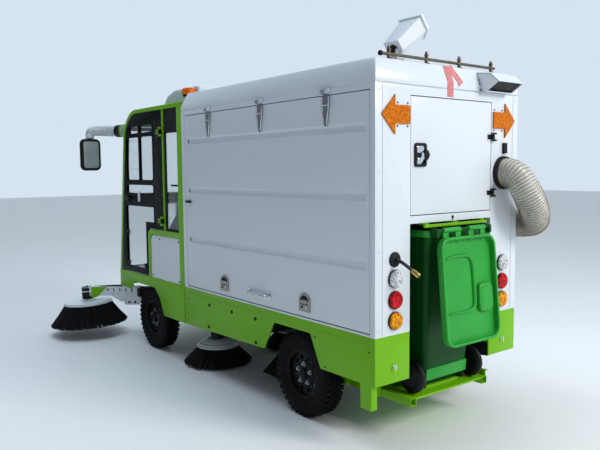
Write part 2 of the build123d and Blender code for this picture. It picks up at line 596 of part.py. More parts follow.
# Horn at the rear left of the roof: bracket, tapered housing and a flanged mouth, aimed up to the right
HORN_BACK = (REAR + 130.0, HALF - 285.0, ROOF + 75.0)
HORN_LONG = 225.0
HORN_LIFT = 38.0          # degrees above level
HORN_FLANGE = 18.0
HORN_AXIS = (0, -cos(radians(HORN_LIFT)), sin(radians(HORN_LIFT)))
HORN_PLANE = Plane(origin=HORN_BACK, x_dir=(1, 0, 0), z_dir=HORN_AXIS)


def horn_outline(wide, tall):
    """Six-sided outline of the horn in the open sketch, its two upper corners cut off."""
    cut = 0.3 * wide
    Polygon((-wide / 2, tall / 2), (wide / 2, tall / 2), (wide / 2, -tall / 6), (wide / 2 - cut, -tall / 2),
            (cut - wide / 2, -tall / 2), (-wide / 2, -tall / 6), align=None)


with BuildPart() as roof_horn:
    with BuildSketch(HORN_PLANE):
        horn_outline(120, 100)
    with BuildSketch(HORN_PLANE.offset(HORN_LONG)):
        horn_outline(165, 135)
    loft()
    with BuildSketch(HORN_PLANE.offset(HORN_LONG)):
        horn_outline(190, 155)
    extrude(amount=HORN_FLANGE)
    with BuildSketch(HORN_PLANE.offset(60)):
        horn_outline(70, 60)
    with BuildSketch(HORN_PLANE.offset(HORN_LONG + HORN_FLANGE)):
        horn_outline(155, 125)
    loft(mode=Mode.SUBTRACT)
    slab(HORN_BACK[0] - 30, HORN_BACK[0] + 30, HORN_BACK[1] - 60, HORN_BACK[1] + 10, ROOF, HORN_BACK[2])
save(roof_horn, "roof_horn")

# Bin: tapered body with a rim, the lid's bar in two lugs, and a recess for the axle
BIN_LOW = (45.0, 500.0, BAY_HALF - 190.0)  # rear, front, half width
BIN_HIGH = (-30.0, 600.0, BAY_HALF - 125.0)
BIN_CORNER = 40.0
BIN_BAR_R = 8.0
BIN_BAR_HALF = BIN_HIGH[2] - 3.0
BIN_LUG = 18.0
RIM_TALL = 40.0
RIM_OUT = 12.0
AXLE_R = 10.0
RECESS_HALF = 26.0        # half the length of the recess round the axle
RECESS_TOP = BIN_AXLE[1] + 39.0
NOTCH_TOP = 316.0         # foot of the rear wall


def bin_loft(inset, low):
    """The bin's tapered form drawn in by this much, from this height to the rim."""
    sections = []
    for z, (back, front, half) in ((low, BIN_LOW), (BIN_RIM, BIN_HIGH)):
        with BuildSketch(Plane.XY.offset(z)) as section:
            with Locations((REAR + (back + front) / 2, 0)):
                RectangleRounded(front - back - 2 * inset, 2 * (half - inset), BIN_CORNER - inset)
        sections.append(section.sketch)
    loft(sections)


with BuildPart() as bin_hollow:
    bin_loft(BIN_WALL, BIN_FLOOR + BIN_WALL)
    slab(REAR, BIN_AXLE[0] + RECESS_HALF + BIN_WALL, -HALF, HALF, BIN_FLOOR, RECESS_TOP + BIN_WALL, mode=Mode.SUBTRACT)
with BuildPart() as bin_body:
    bin_loft(0, BIN_FLOOR)
    with BuildSketch(Plane.XY.offset(BIN_RIM - RIM_TALL)):
        with Locations((REAR + (BIN_HIGH[0] + BIN_HIGH[1]) / 2, 0)):
            RectangleRounded(BIN_HIGH[1] - BIN_HIGH[0] + 2 * RIM_OUT, 2 * (BIN_HIGH[2] + RIM_OUT), BIN_CORNER)
    extrude(amount=RIM_TALL)
    add(bin_hollow.part, mode=Mode.SUBTRACT)
    slab(BIN_AXLE[0] - RECESS_HALF, BIN_AXLE[0] + RECESS_HALF, 20 - BIN_LOW[2], BIN_LOW[2] - 20,
         BIN_FLOOR, RECESS_TOP, mode=Mode.SUBTRACT)
    slab(REAR, BIN_AXLE[0], 20 - BIN_LOW[2], BIN_LOW[2] - 20, BIN_FLOOR, NOTCH_TOP, mode=Mode.SUBTRACT)
    for y in (-BIN_BAR_HALF, BIN_BAR_HALF - BIN_LUG):
        slab(LID_AXIS[0] - 12, REAR - 40, y, y + BIN_LUG, BIN_RIM - 34, LID_AXIS[1] + 12)
    with BuildSketch(side(BIN_BAR_HALF)):
        with Locations(LID_AXIS):
            Circle(BIN_BAR_R)
    extrude(amount=2 * BIN_BAR_HALF)
    with BuildSketch(side(HALF)):
        with Locations(BIN_AXLE):
            Circle(AXLE_R + RUN)
    extrude(amount=2 * HALF, mode=Mode.SUBTRACT)
save(bin_body, "bin_body")

# Bin lid, hanging open behind the bin, with its rim turned to the back
lean = radians(LID_LEAN)
LID_PLANE = Plane(origin=(LID_AXIS[0], 0, LID_AXIS[1]), x_dir=(0, 1, 0), z_dir=(-cos(lean), 0, sin(lean)))
LID_SHEET = 6.0
LID_RIM = 42.0
LID_EDGE = 10.0           # width of the rim
LID_CORNER = 75.0
LID_START = 48.0          # from the axis to the lid's upper edge
LID_KNUCKLE_R = 15.0
LID_KNUCKLE_HALF = 80.0
LID_KNUCKLE_Y = LID_HALF - 138.0
with BuildPart() as bin_lid:
    with BuildSketch(LID_PLANE.offset(-LID_SHEET)):
        with Locations((0, (LID_START + LID_LONG) / 2)):
            RectangleRounded(2 * LID_HALF, LID_LONG - LID_START, LID_CORNER)
    extrude(amount=LID_RIM)
    with BuildSketch(LID_PLANE):
        with Locations((0, (LID_START + LID_LONG) / 2)):
            RectangleRounded(2 * (LID_HALF - LID_EDGE), LID_LONG - LID_START - 2 * LID_EDGE, LID_CORNER - LID_EDGE)
    extrude(amount=LID_RIM, mode=Mode.SUBTRACT)
    for y in (-LID_KNUCKLE_Y, LID_KNUCKLE_Y):
        with BuildSketch(side(y + LID_KNUCKLE_HALF)):
            with Locations(LID_AXIS):
                Circle(LID_KNUCKLE_R)
        extrude(amount=2 * LID_KNUCKLE_HALF)
        with BuildSketch(LID_PLANE.offset(-LID_SHEET)):
            with Locations((y, LID_START / 2 + 4)):
                Rectangle(2 * LID_KNUCKLE_HALF, LID_START)
        extrude(amount=LID_SHEET + 4)
    with BuildSketch(side(LID_HALF)):
        with Locations(LID_AXIS):
            Circle(BIN_BAR_R + RUN)
    extrude(amount=2 * LID_HALF, mode=Mode.SUBTRACT)
save(bin_lid, "bin_lid")

# Bin wheels on their axle
BIN_TRACK = BIN_LOW[2] + 103.0
with BuildPart() as bin_wheels:
    with BuildSketch(side(BIN_TRACK)):
        with Locations(BIN_AXLE):
            Circle(AXLE_R)
    extrude(amount=2 * BIN_TRACK)
    for y in (BIN_TRACK, BIN_WHEEL_T - BIN_TRACK):
        with BuildSketch(side(y)):
            with Locations(BIN_AXLE):
                Circle(BIN_WHEEL_R)
        extrude(amount=BIN_WHEEL_T)
save(bin_wheels, "bin_wheels")

# Bin platform: two square tubes, a plate between them and hangers up to the rear rails
FORK_IN = BAY_HALF - 65.0
FORK_OUT = BAY_HALF - 15.0
FORK_LOW = 205.0
FORK_TOP = 255.0
FORK_WALL = 4.0
FORK_FRONT = REAR + 620.0
with BuildPart() as bin_platform:
    slab(REAR, FORK_FRONT, FORK_IN, FORK_OUT, FORK_LOW, FORK_TOP)
    slab(REAR - 1, FORK_FRONT - 40, FORK_IN + FORK_WALL, FORK_OUT - FORK_WALL, FORK_LOW + FORK_WALL,
         FORK_TOP - FORK_WALL, mode=Mode.SUBTRACT)
    for x in (REAR + 260, FORK_FRONT - 60):
        slab(x, x + 60, FORK_OUT, BAY_HALF + BAY_WALL, FORK_LOW, RAIL_LOW)
    mirror(about=Plane.XZ)
    slab(REAR + 4, FORK_FRONT, -FORK_IN, FORK_IN, FORK_TOP - 14, FORK_TOP - 2)
    slab(REAR + 80, REAR + 460, -BIN_LOW[2] + 20, BIN_LOW[2] - 20, FORK_TOP - 2, BIN_FLOOR)
save(bin_platform, "bin_platform")

# Battery on the floor, and the suction mouth under it with its pipe
with BuildPart() as battery_pack:
    slab(BULKHEAD - 980, BULKHEAD - 80, -BAY_HALF + 10, BAY_HALF - 10, FLOOR + FLOOR_T, FLOOR + FLOOR_T + 340)
save(battery_pack, "battery_pack")
MOUTH = REAR + 1480.0
MOUTH_LOW = 40.0
with BuildPart() as suction_mouth:
    with BuildSketch(Plane.XY.offset(MOUTH_LOW)):
        with Locations((MOUTH, 0)):
            Rectangle(260, 720)
    with BuildSketch(Plane.XY.offset(RAIL_LOW - 100)):
        with Locations((MOUTH, 0)):
            Rectangle(180, 180)
    loft()
    with BuildSketch(Plane.XY.offset(RAIL_LOW - 100)):
        with Locations((MOUTH, 0)):
            Circle(90)
    extrude(amount=FLOOR - RAIL_LOW + 100)
save(suction_mouth, "suction_mouth")


# Cab base: floor, sills, front sill and side sheets round the front wheel arches
CAB_SHEET = ((0.0, 360.0), (392.0, 360.0), (470.0, 505.0), (566.0, 590.0), (1030.0, 590.0),
             (1100.0, 510.0), (1350.0, 510.0))  # lower edge: ahead of the cab's back, height
SILL_IN = HALF - 80.0
CAB_FRONT = NOSE - 20.0
with BuildPart() as cab_base:
    with BuildSketch(side(HALF)):
        with BuildLine():
            Polyline(*[(CAB_BACK + x, z) for x, z in CAB_SHEET], (windscreen_x(BELT), BELT), (CAB_BACK, BELT), close=True)
        make_face()
    extrude(amount=SHEET)
    slab(CAB_BACK, CAB_FRONT, SILL_IN, HALF - SHEET, FLOOR, BELT)
    mirror(about=Plane.XZ)
    slab(CAB_BACK, CAB_FRONT, -SILL_IN, SILL_IN, FLOOR, FLOOR + FLOOR_T)
    slab(CAB_FRONT - 60, CAB_FRONT, -SILL_IN, SILL_IN, FLOOR, BELT)
save(cab_base, "cab_base")


def cab_face(inset, back, low):
    """The cab's side outline drawn in by this much, ahead of back and above low, for the open sketch."""
    across = inset * (1 + RAKE ** 2) ** 0.5
    top = CAB_ROOF - inset
    with BuildLine() as outline:
        Polyline((back, low), (back, top), (windscreen_x(top) - across, top), (windscreen_x(low) - across, low),
                 close=True)
    make_face(outline.edges())
    fillet(vertices().group_by(Axis.Y)[-1].sort_by(Axis.X)[-1], BROW_R - inset)


# Cab roof with the brow over the windscreen
with BuildPart() as cab_roof:
    with BuildSketch(side(CAB_HALF)):
        cab_face(0, CAB_BACK, BELT)
    extrude(amount=2 * CAB_HALF)
    with BuildSketch(side(CAB_HALF)):
        cab_face(BAND, CAB_BACK - WALL, BELT)
    extrude(amount=2 * CAB_HALF, mode=Mode.SUBTRACT)
    slab(CAB_BACK, NOSE, -CAB_HALF, CAB_HALF, BELT, HEADER_LOW, mode=Mode.SUBTRACT)
save(cab_roof, "cab_roof")

# Cab side frames: front pillars, rear pillars, middle posts, and the framed panel over the wheel arch
PANEL_IN = 8.0            # the arch panel lies this far inside its border
PANEL_T = 14.0
ARCH_R = 60.0
CAB_HINGES = (CAB_ROOF - 232.0, WAIST_TOP + 88.0)
with BuildPart() as cab_side_frames:
    with BuildSketch(side(CAB_HALF)):
        cab_face(0, NOSE - 600, BELT)
    extrude(amount=CAB_HALF - PILLAR_IN)
    with BuildSketch(side(CAB_HALF)):
        cab_face(BAND, NOSE - 600, BELT)
    extrude(amount=CAB_HALF - PILLAR_IN, mode=Mode.SUBTRACT)
    slab(NOSE - 600, NOSE, PILLAR_IN, CAB_HALF, HEADER_LOW, CAB_ROOF, mode=Mode.SUBTRACT)
    slab(REAR_PILLAR, ARCH_FRONT, PILLAR_IN, CAB_HALF, BELT, WAIST_TOP)
    arch_corner = cab_side_frames.edges().filter_by(Axis.Y).filter_by_position(Axis.Z, WAIST_TOP - 1, WAIST_TOP + 1)
    fillet(arch_corner.sort_by(Axis.X)[-1], ARCH_R)
    for low, high in ((CAB_HALF - PANEL_IN, CAB_HALF), (PILLAR_IN, CAB_HALF - PANEL_IN - PANEL_T)):
        slab(REAR_PILLAR, ARCH_FRONT - ARCH_BORDER, low, high, BELT, WAIST_LOW, mode=Mode.SUBTRACT)
    slab(CAB_BACK, REAR_PILLAR, PILLAR_IN, CAB_HALF, BELT, CAB_ROOF - BAND)
    slab(POST_BACK, POST_FRONT, PILLAR_IN, CAB_HALF, WAIST_TOP, CAB_ROOF - BAND)
    for z in CAB_HINGES:
        for low in (z + 22, z - 40):
            slab(POST_BACK, POST_FRONT, CAB_HALF, CAB_HALF + HINGE_OUT + 10, low, low + 18)
            slab(POST_FRONT, CAB_HINGE_X + 10, CAB_HALF + 10, CAB_HALF + HINGE_OUT + 10, low, low + 18)
        with Locations((CAB_HINGE_X, CAB_HALF + HINGE_OUT, z)):
            Cylinder(PIN_R, 70)
    mirror(about=Plane.XZ)
save(cab_side_frames, "cab_side_frames")

# Cab front: bumper across the nose, with two lamps
BUMPER_LOW = 515.0
BUMPER_TOP = 650.0
BUMPER_T = 70.0
with BuildPart() as cab_front:
    slab(CAB_FRONT, CAB_FRONT + BUMPER_T, -PILLAR_IN, PILLAR_IN, BUMPER_LOW, BUMPER_TOP)
save(cab_front, "cab_front")
with BuildPart() as front_lamps:
    with BuildSketch(Plane.YZ.offset(CAB_FRONT + BUMPER_T)):
        with Locations((HALF - 200, (BUMPER_LOW + BUMPER_TOP) / 2 + 2.5)):
            RectangleRounded(160, 90, 20)
    extrude(amount=16)
    mirror(about=Plane.XZ)
save(front_lamps, "front_lamps")

# Fixed glass: windscreen and quarter windows
GLASS_IN = 8.0
with BuildPart() as cab_glass:
    with BuildSketch(side(PILLAR_IN)):
        cab_face(GLASS_IN, NOSE - 600, BELT)
    extrude(amount=2 * PILLAR_IN)
    with BuildSketch(side(PILLAR_IN)):
        cab_face(GLASS_IN + GLASS_T, NOSE - 600, BELT)
    extrude(amount=2 * PILLAR_IN, mode=Mode.SUBTRACT)
    slab(NOSE - 600, NOSE, -PILLAR_IN, PILLAR_IN, HEADER_LOW, CAB_ROOF, mode=Mode.SUBTRACT)
    for y in (CAB_HALF - 20, -CAB_HALF + 20 - GLASS_T):
        slab(REAR_PILLAR, POST_BACK, y, y + GLASS_T, WAIST_TOP, CAB_ROOF - BAND)
save(cab_glass, "cab_glass")

# Cab doors: black frame with panes, hinged on the middle post
DOOR_LOW = BELT + 10.0
PANES = ((550.0, 832.0, CAB_ROOF - 657.0, CAB_ROOF - 257.0), (842.0, 1130.0, CAB_ROOF - 657.0, CAB_ROOF - 257.0),
         (550.0, 832.0, CAB_ROOF - 222.0, CAB_ROOF - 157.0), (842.0, 1060.0, CAB_ROOF - 222.0, CAB_ROOF - 157.0),
         (550.0, 1140.0, CAB_ROOF - 782.0, CAB_ROOF - 702.0),
         (722.0, 1170.0, DOOR_LOW + 50.0, CAB_ROOF - 902.0),
         (550.0, 1170.0, WAIST_TOP + 60.0, CAB_ROOF - 902.0))  # rear and front edge from the cab's back, low, high
PANE_R = 24.0
with BuildPart() as cab_door_left:
    with BuildSketch(side(CAB_HALF)):
        cab_face(BAND + GAP, POST_FRONT + GAP, DOOR_LOW)
    extrude(amount=DOOR_T)
    slab(POST_FRONT, ARCH_FRONT + GAP, CAB_HALF - DOOR_T, CAB_HALF, BELT, WAIST_TOP + GAP, mode=Mode.SUBTRACT)
    with BuildSketch(side(CAB_HALF)):
        for back, front, low, high in PANES:
            with Locations((CAB_BACK + (back + front) / 2, (low + high) / 2)):
                RectangleRounded(front - back, high - low, PANE_R)
    extrude(amount=DOOR_T, mode=Mode.SUBTRACT)
    for z in CAB_HINGES:
        with Locations((CAB_HINGE_X, CAB_HALF + HINGE_OUT, z)):
            Cylinder(EYE_R, 40)
        slab(CAB_HINGE_X - 3, CAB_HINGE_X + 70, CAB_HALF + HINGE_OUT - 8, CAB_HALF + HINGE_OUT, z - 18, z + 18)
        slab(CAB_HINGE_X + 14, CAB_HINGE_X + 70, CAB_HALF, CAB_HALF + HINGE_OUT, z - 18, z + 18)
        with Locations((CAB_HINGE_X, CAB_HALF + HINGE_OUT, z)):
            Cylinder(PIN_R + RUN, 40, mode=Mode.SUBTRACT)
save(cab_door_left, "cab_door_left")
save_mirrored(cab_door_left, "cab_door_right")
with BuildPart() as door_glass_left:
    with BuildSketch(side(CAB_HALF - DOOR_T / 2 + GLASS_T / 2)):
        for back, front, low, high in PANES:
            with Locations((CAB_BACK + (back + front) / 2, (low + high) / 2)):
                RectangleRounded(front - back, high - low, PANE_R)
    extrude(amount=GLASS_T)
save(door_glass_left, "door_glass_left")
save_mirrored(door_glass_left, "door_glass_right")

# Dashboard: a beam under the windscreen on a pedestal, with the steering column
DASH = (CAB_BACK + 1070.0, CAB_BACK + 1215.0, 1330.0, 1440.0)  # rear and front side, low and high
COLUMN_RISE = 35.0        # degrees
COLUMN_FOOT = (CAB_BACK + 1120.0, 0.0, DASH[2] + 40.0)
COLUMN_LONG = 230.0
COLUMN_R = 28.0
WHEEL_RING_R = 180.0
RING_R = 14.0
COLUMN = Plane(origin=COLUMN_FOOT, x_dir=(0, 1, 0),
               z_dir=(-cos(radians(COLUMN_RISE)), 0, sin(radians(COLUMN_RISE))))
with BuildPart() as dashboard:
    slab(DASH[0], DASH[1], 15 - PILLAR_IN, PILLAR_IN - 15, DASH[2], DASH[3])
    slab(DASH[0] + 30, DASH[1] - 20, -120, 120, FLOOR + FLOOR_T, DASH[2])
    with BuildSketch(COLUMN):
        Circle(COLUMN_R)
    extrude(amount=COLUMN_LONG)
save(dashboard, "dashboard")
with BuildPart(COLUMN.offset(COLUMN_LONG + RUN)) as steering_wheel:
    with Locations((0, 0, 20)):
        Cylinder(34, 40)
    with Locations((0, 0, 40)):
        Torus(WHEEL_RING_R, RING_R)
    for turn in (0, 120, 240):
        with Locations(Location((0, 0, 34), (0, 0, turn))):
            Box(WHEEL_RING_R, 24, 12, align=(Align.MIN, Align.CENTER, Align.CENTER))
save(steering_wheel, "steering_wheel")

# Seat: base, and the two cushions
SEAT = (CAB_BACK + 220.0, CAB_BACK + 660.0, 230.0)  # rear and front of the cushion, half width
SEAT_TOP = 960.0
CUSHION_T = 110.0
with BuildPart() as seat_base:
    slab(SEAT[0] + 20, SEAT[1] - 60, -SEAT[2] + 40, SEAT[2] - 40, FLOOR + FLOOR_T, SEAT_TOP)
    slab(SEAT[0] - 50, SEAT[0] + 20, -120, 120, SEAT_TOP - 40, SEAT_TOP)
    slab(SEAT[0] - 50, SEAT[0] - 30, -120, 120, SEAT_TOP, SEAT_TOP + 400)
save(seat_base, "seat_base")
with BuildPart() as seat_cushions:
    slab(SEAT[0] + 75, SEAT[1], -SEAT[2], SEAT[2], SEAT_TOP, SEAT_TOP + CUSHION_T)
    slab(SEAT[0] - 30, SEAT[0] + 70, -SEAT[2] + 10, SEAT[2] - 10, SEAT_TOP + 30, SEAT_TOP + 720)
save(seat_cushions, "seat_cushions")

# Mirrors: a bent arm from each front pillar and a hanging head
MIRROR = (NOSE + 170.0, CAB_HALF + 205.0, CAB_ROOF - 408.0)
MIRROR_SIZE = (60.0, 180.0, 288.0)
MIRROR_ARM_R = 42.0
ARM_ROUTE = ((NOSE - 180.0, CAB_HALF - 21.0, CAB_ROOF - 182.0), (NOSE - 50.0, CAB_HALF + 25.0, CAB_ROOF - 180.0),
             (MIRROR[0], MIRROR[1], CAB_ROOF - 178.0), (MIRROR[0], MIRROR[1], MIRROR[2] + 118.0))
with BuildPart() as mirrors:
    with BuildLine():
        FilletPolyline(*ARM_ROUTE, radius=70)
    with BuildSketch(Plane(origin=ARM_ROUTE[0], z_dir=Vector(*ARM_ROUTE[1]) - Vector(*ARM_ROUTE[0]))):
        Circle(MIRROR_ARM_R)
    sweep()
    with Locations(MIRROR):
        Box(*MIRROR_SIZE)
    with BuildSketch(side(CAB_HALF)):
        cab_face(0, NOSE - 600, BELT)
    extrude(amount=CAB_HALF - PILLAR_IN, mode=Mode.SUBTRACT)
    mirror(about=Plane.XZ)
save(mirrors, "mirrors")

# Beacon and roof unit
BEACON = (CAB_BACK + 170.0, HALF - 180.0)
with BuildPart() as beacon:
    with BuildSketch(Plane.XY.offset(CAB_ROOF)):
        with Locations(BEACON):
            Circle(16)
    extrude(amount=70)
    with BuildSketch(Plane.XY.offset(CAB_ROOF + 68)):
        with Locations(BEACON):
            Circle(60)
    extrude(amount=72)
save(beacon, "beacon")
UNIT = ((150.0, 0.0), (150.0, 170.0), (600.0, 170.0), (745.0, 132.0), (812.0, 65.0), (812.0, 0.0))  # from the cab's back, roof
UNIT_HALF = HALF - 260.0
with BuildPart() as roof_unit:
    with BuildSketch(side(UNIT_HALF)):
        Polygon(*[(CAB_BACK + x, CAB_ROOF + z) for x, z in UNIT], align=None)
    extrude(amount=2 * UNIT_HALF)
save(roof_unit, "roof_unit")

# Front brush arm: folded channel on its pivot tube, with the motor and its shaft at the end
CHANNEL_HALF = 40.0
CHANNEL_T = 6.0
CHANNEL_TOP = 45.0
CHANNEL_DEEP = 140.0      # lower edge near the pivot
CHANNEL_STEP = 255.0      # from the far end to where the lower edge is level
HOLE_R = 13.0             # slots along the top and holes below
HOLE_PITCH = 62.0
HOLE_START = 90.0
MOTOR_R = 52.0
MOTOR_TOP = 150.0         # above the disc's middle
SHAFT_R = 14.0
tilt = radians(BRUSH_TILT)
BRUSH_PLANE = Plane(origin=FRONT_BRUSH, x_dir=(ARM_DIR[1], -ARM_DIR[0], 0),
                    z_dir=(sin(tilt) * ARM_DIR[0], sin(tilt) * ARM_DIR[1], cos(tilt)))
with BuildPart() as front_arm_left:
    with BuildSketch(ARM_PLANE):
        Polygon((10, CHANNEL_TOP), (ARM_LENGTH - 20, CHANNEL_TOP), (ARM_LENGTH - 20, -CHANNEL_TOP),
                (ARM_LENGTH - CHANNEL_STEP, -CHANNEL_TOP), (HOLE_START + HOLE_PITCH, -CHANNEL_DEEP), (10, -CHANNEL_DEEP),
                align=None)
    extrude(amount=CHANNEL_HALF, both=True)
    with BuildSketch(ARM_PLANE):
        with Locations((ARM_LENGTH / 2, CHANNEL_TOP - CHANNEL_T - CHANNEL_DEEP)):
            Rectangle(ARM_LENGTH, 2 * CHANNEL_DEEP)
    extrude(amount=CHANNEL_HALF - CHANNEL_T, both=True, mode=Mode.SUBTRACT)
    with BuildSketch(ARM_PLANE):
        for row in range(int((ARM_LENGTH - HOLE_START - MOTOR_R) / HOLE_PITCH)):
            with Locations((HOLE_START + row * HOLE_PITCH, CHANNEL_TOP / 3)):
                SlotOverall(2.4 * HOLE_R, HOLE_R, rotation=90)
        for row in range(3):
            with Locations((HOLE_START - HOLE_PITCH / 2 + row * HOLE_PITCH, 2 * HOLE_R - CHANNEL_DEEP)):
                Circle(HOLE_R)
    extrude(amount=CHANNEL_HALF, both=True, mode=Mode.SUBTRACT)
    with BuildSketch(ARM_PLANE):
        Circle(PIVOT_R + 10)
    extrude(amount=CHANNEL_HALF, both=True)
    with BuildSketch(BRUSH_PLANE.offset(DISC_T / 2 + 12)):
        Circle(MOTOR_R)
    extrude(amount=MOTOR_TOP - DISC_T / 2 - 12)
    with BuildSketch(BRUSH_PLANE.offset(-DISC_T / 2)):
        Circle(SHAFT_R)
    extrude(amount=DISC_T + 20)
    with BuildSketch(ARM_PLANE):
        Circle(PIVOT_R + RUN)
    extrude(amount=2 * CHANNEL_HALF, both=True, mode=Mode.SUBTRACT)
save(front_arm_left, "front_arm_left")
save_mirrored(front_arm_left, "front_arm_right")

# Front brush: disc and flaring bristles
with BuildPart(BRUSH_PLANE) as front_brush_left:
    Cylinder(DISC_R, DISC_T)
    with Locations((0, 0, -DISC_T / 2 - BRISTLE / 2)):
        Cone(TIP_R, DISC_R - 6, BRISTLE)
    with Locations((0, 0, -DISC_T / 2 - BRISTLE / 2)):
        Cone(TIP_R - BRISTLE_RING, DISC_R - 6 - BRISTLE_RING, BRISTLE, mode=Mode.SUBTRACT)
    Cylinder(SHAFT_R + RUN, 2 * DISC_T, mode=Mode.SUBTRACT)
save(front_brush_left, "front_brush_left")
save_mirrored(front_brush_left, "front_brush_right")

# Mid brushes: dome with bristles, under a motor hung from the main rails
with BuildPart() as mid_brush_mounts:
    with BuildSketch(Plane.XY.offset(MID_DOME_TOP + 6)):
        with Locations(MID_BRUSH):
            Circle(60)
    extrude(amount=RAIL_LOW - MID_DOME_TOP - 6)
    with BuildSketch(Plane.XY.offset(MID_DOME_LOW + 10)):
        with Locations(MID_BRUSH):
            Circle(SHAFT_R)
    extrude(amount=MID_DOME_TOP - MID_DOME_LOW)
    slab(MID_BRUSH[0] - 70, MID_BRUSH[0] + 70, RAIL_OUT, MID_BRUSH[1] + 70, RAIL_LOW, RAIL_LOW + 40)
    mirror(about=Plane.XZ)
save(mid_brush_mounts, "mid_brush_mounts")
with BuildPart(Plane(origin=(MID_BRUSH[0], MID_BRUSH[1], 0))) as mid_brush_left:
    with Locations((0, 0, (MID_DOME_LOW + MID_DOME_TOP) / 2)):
        Cone(MID_DOME_R, MID_DOME_R - 90, MID_DOME_TOP - MID_DOME_LOW)
    with Locations((0, 0, (MID_DOME_LOW + MID_TIP_Z) / 2)):
        Cone(MID_TIP_R, MID_DOME_R - 10, MID_DOME_LOW - MID_TIP_Z)
    with Locations((0, 0, (MID_DOME_LOW + MID_TIP_Z) / 2)):
        Cone(MID_TIP_R - BRISTLE_RING, MID_DOME_R - 10 - BRISTLE_RING, MID_DOME_LOW - MID_TIP_Z, mode=Mode.SUBTRACT)
    with Locations((0, 0, MID_DOME_TOP)):
        Cylinder(SHAFT_R + RUN, 4 * DISC_T, mode=Mode.SUBTRACT)
save(mid_brush_left, "mid_brush_left")
save_mirrored(mid_brush_left, "mid_brush_right")
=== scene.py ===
import json
import math
import random

import bmesh
import bpy
from mathutils import Matrix, Vector

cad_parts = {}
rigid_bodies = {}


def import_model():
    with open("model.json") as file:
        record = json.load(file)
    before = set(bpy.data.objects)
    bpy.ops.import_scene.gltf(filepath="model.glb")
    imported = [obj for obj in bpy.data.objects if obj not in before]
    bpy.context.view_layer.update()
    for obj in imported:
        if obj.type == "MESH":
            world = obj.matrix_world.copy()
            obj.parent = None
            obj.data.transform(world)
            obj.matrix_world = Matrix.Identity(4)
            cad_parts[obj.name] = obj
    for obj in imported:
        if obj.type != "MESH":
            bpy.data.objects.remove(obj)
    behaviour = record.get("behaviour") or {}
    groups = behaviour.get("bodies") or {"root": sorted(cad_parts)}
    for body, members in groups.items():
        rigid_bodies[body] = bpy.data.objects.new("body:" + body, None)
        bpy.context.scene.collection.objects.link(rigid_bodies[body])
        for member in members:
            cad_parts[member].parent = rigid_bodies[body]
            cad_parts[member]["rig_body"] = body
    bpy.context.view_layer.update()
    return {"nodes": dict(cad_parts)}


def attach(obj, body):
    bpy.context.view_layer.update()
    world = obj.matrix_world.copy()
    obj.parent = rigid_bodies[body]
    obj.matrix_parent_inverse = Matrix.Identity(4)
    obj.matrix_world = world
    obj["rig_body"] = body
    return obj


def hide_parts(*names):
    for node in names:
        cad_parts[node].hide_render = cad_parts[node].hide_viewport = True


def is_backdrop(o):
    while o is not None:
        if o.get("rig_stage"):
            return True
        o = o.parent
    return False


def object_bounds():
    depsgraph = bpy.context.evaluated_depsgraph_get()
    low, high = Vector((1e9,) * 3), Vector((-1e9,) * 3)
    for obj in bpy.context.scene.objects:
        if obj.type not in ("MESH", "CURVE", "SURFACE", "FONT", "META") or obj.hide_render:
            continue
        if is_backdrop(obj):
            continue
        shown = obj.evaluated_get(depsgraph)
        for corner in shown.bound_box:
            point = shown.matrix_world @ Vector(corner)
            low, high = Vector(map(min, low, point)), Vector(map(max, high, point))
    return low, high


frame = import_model()
NODES = frame["nodes"]
scene = bpy.context.scene
X, Y, Z = range(3)


def span(node, axis, start=0.0):
    """Lowest and highest place of a CAD node along an axis, from a start, to a tenth of a millimetre."""
    places = [v.co[axis] - start for v in NODES[node].data.vertices]
    return round(min(places), 4), round(max(places), 4)


def midway(node, axis, start=0.0):
    """The place half way between them."""
    return round(sum(span(node, axis, start)) / 2, 4)


REAR = span("roof_lid", X)[0]  # rear face of the body; places along the machine are measured ahead of it
HALF = span("skirts", Y)[1]  # half the body's width


# Materials: every one varies in colour and gloss, and has its own fine relief
class Surface:
    """A node material around one shader, in the object's own coordinates."""

    def __init__(self, name, **shader):
        self.mat = bpy.data.materials.new(name)
        self.mat.use_nodes = True
        self.tree = self.mat.node_tree
        self.bsdf = self.tree.nodes["Principled BSDF"]
        self.coords = self.node("TexCoord").outputs["Object"]
        for key, value in shader.items():
            self.bsdf.inputs[key.replace("_", " ")].default_value = value

    def node(self, kind, links=(), **values):
        made = self.tree.nodes.new("ShaderNode" + kind)
        for key, value in values.items():
            if hasattr(made, key):
                setattr(made, key, value)
            else:
                made.inputs[key].default_value = value
        for key, source in links:
            self.tree.links.new(source, made.inputs[key])
        return made

    def noise(self, scale, detail=3.0, stretch=None):
        source = self.coords
        if stretch:
            source = self.node("Mapping", [("Vector", source)], Scale=stretch).outputs["Vector"]
        return self.node("TexNoise", [("Vector", source)], Scale=scale, Detail=detail).outputs["Fac"]

    def ranged(self, source, low, high, to_low, to_high):
        made = self.node("MapRange")
        self.fill(made, enumerate((source, low, high, to_low, to_high)))
        return made.outputs["Result"]

    def fill(self, made, values):
        for index, value in values:
            if isinstance(value, bpy.types.NodeSocket):
                self.tree.links.new(value, made.inputs[index])
            else:
                made.inputs[index].default_value = value

    def mix(self, factor, a, b):
        made = self.node("Mix", data_type="RGBA")
        self.fill(made, ((0, factor), (6, a), (7, b)))
        return made.outputs[2]

    def times(self, a, b, operation="MULTIPLY"):
        made = self.node("Math", operation=operation)
        self.fill(made, ((0, a), (1, b)))
        return made.outputs[0]

    def feed(self, socket, source):
        self.tree.links.new(source, self.bsdf.inputs[socket])

    def relief(self, height, strength, distance=0.002):
        bump = self.node("Bump", [("Height", height)], Strength=strength, Distance=distance)
        self.feed("Normal", bump.outputs["Normal"])


def shade(colour, factor):
    return tuple(min(1.0, c * factor) for c in colour[:3]) + (1.0,)


DUST = (0.36, 0.33, 0.28, 1.0)


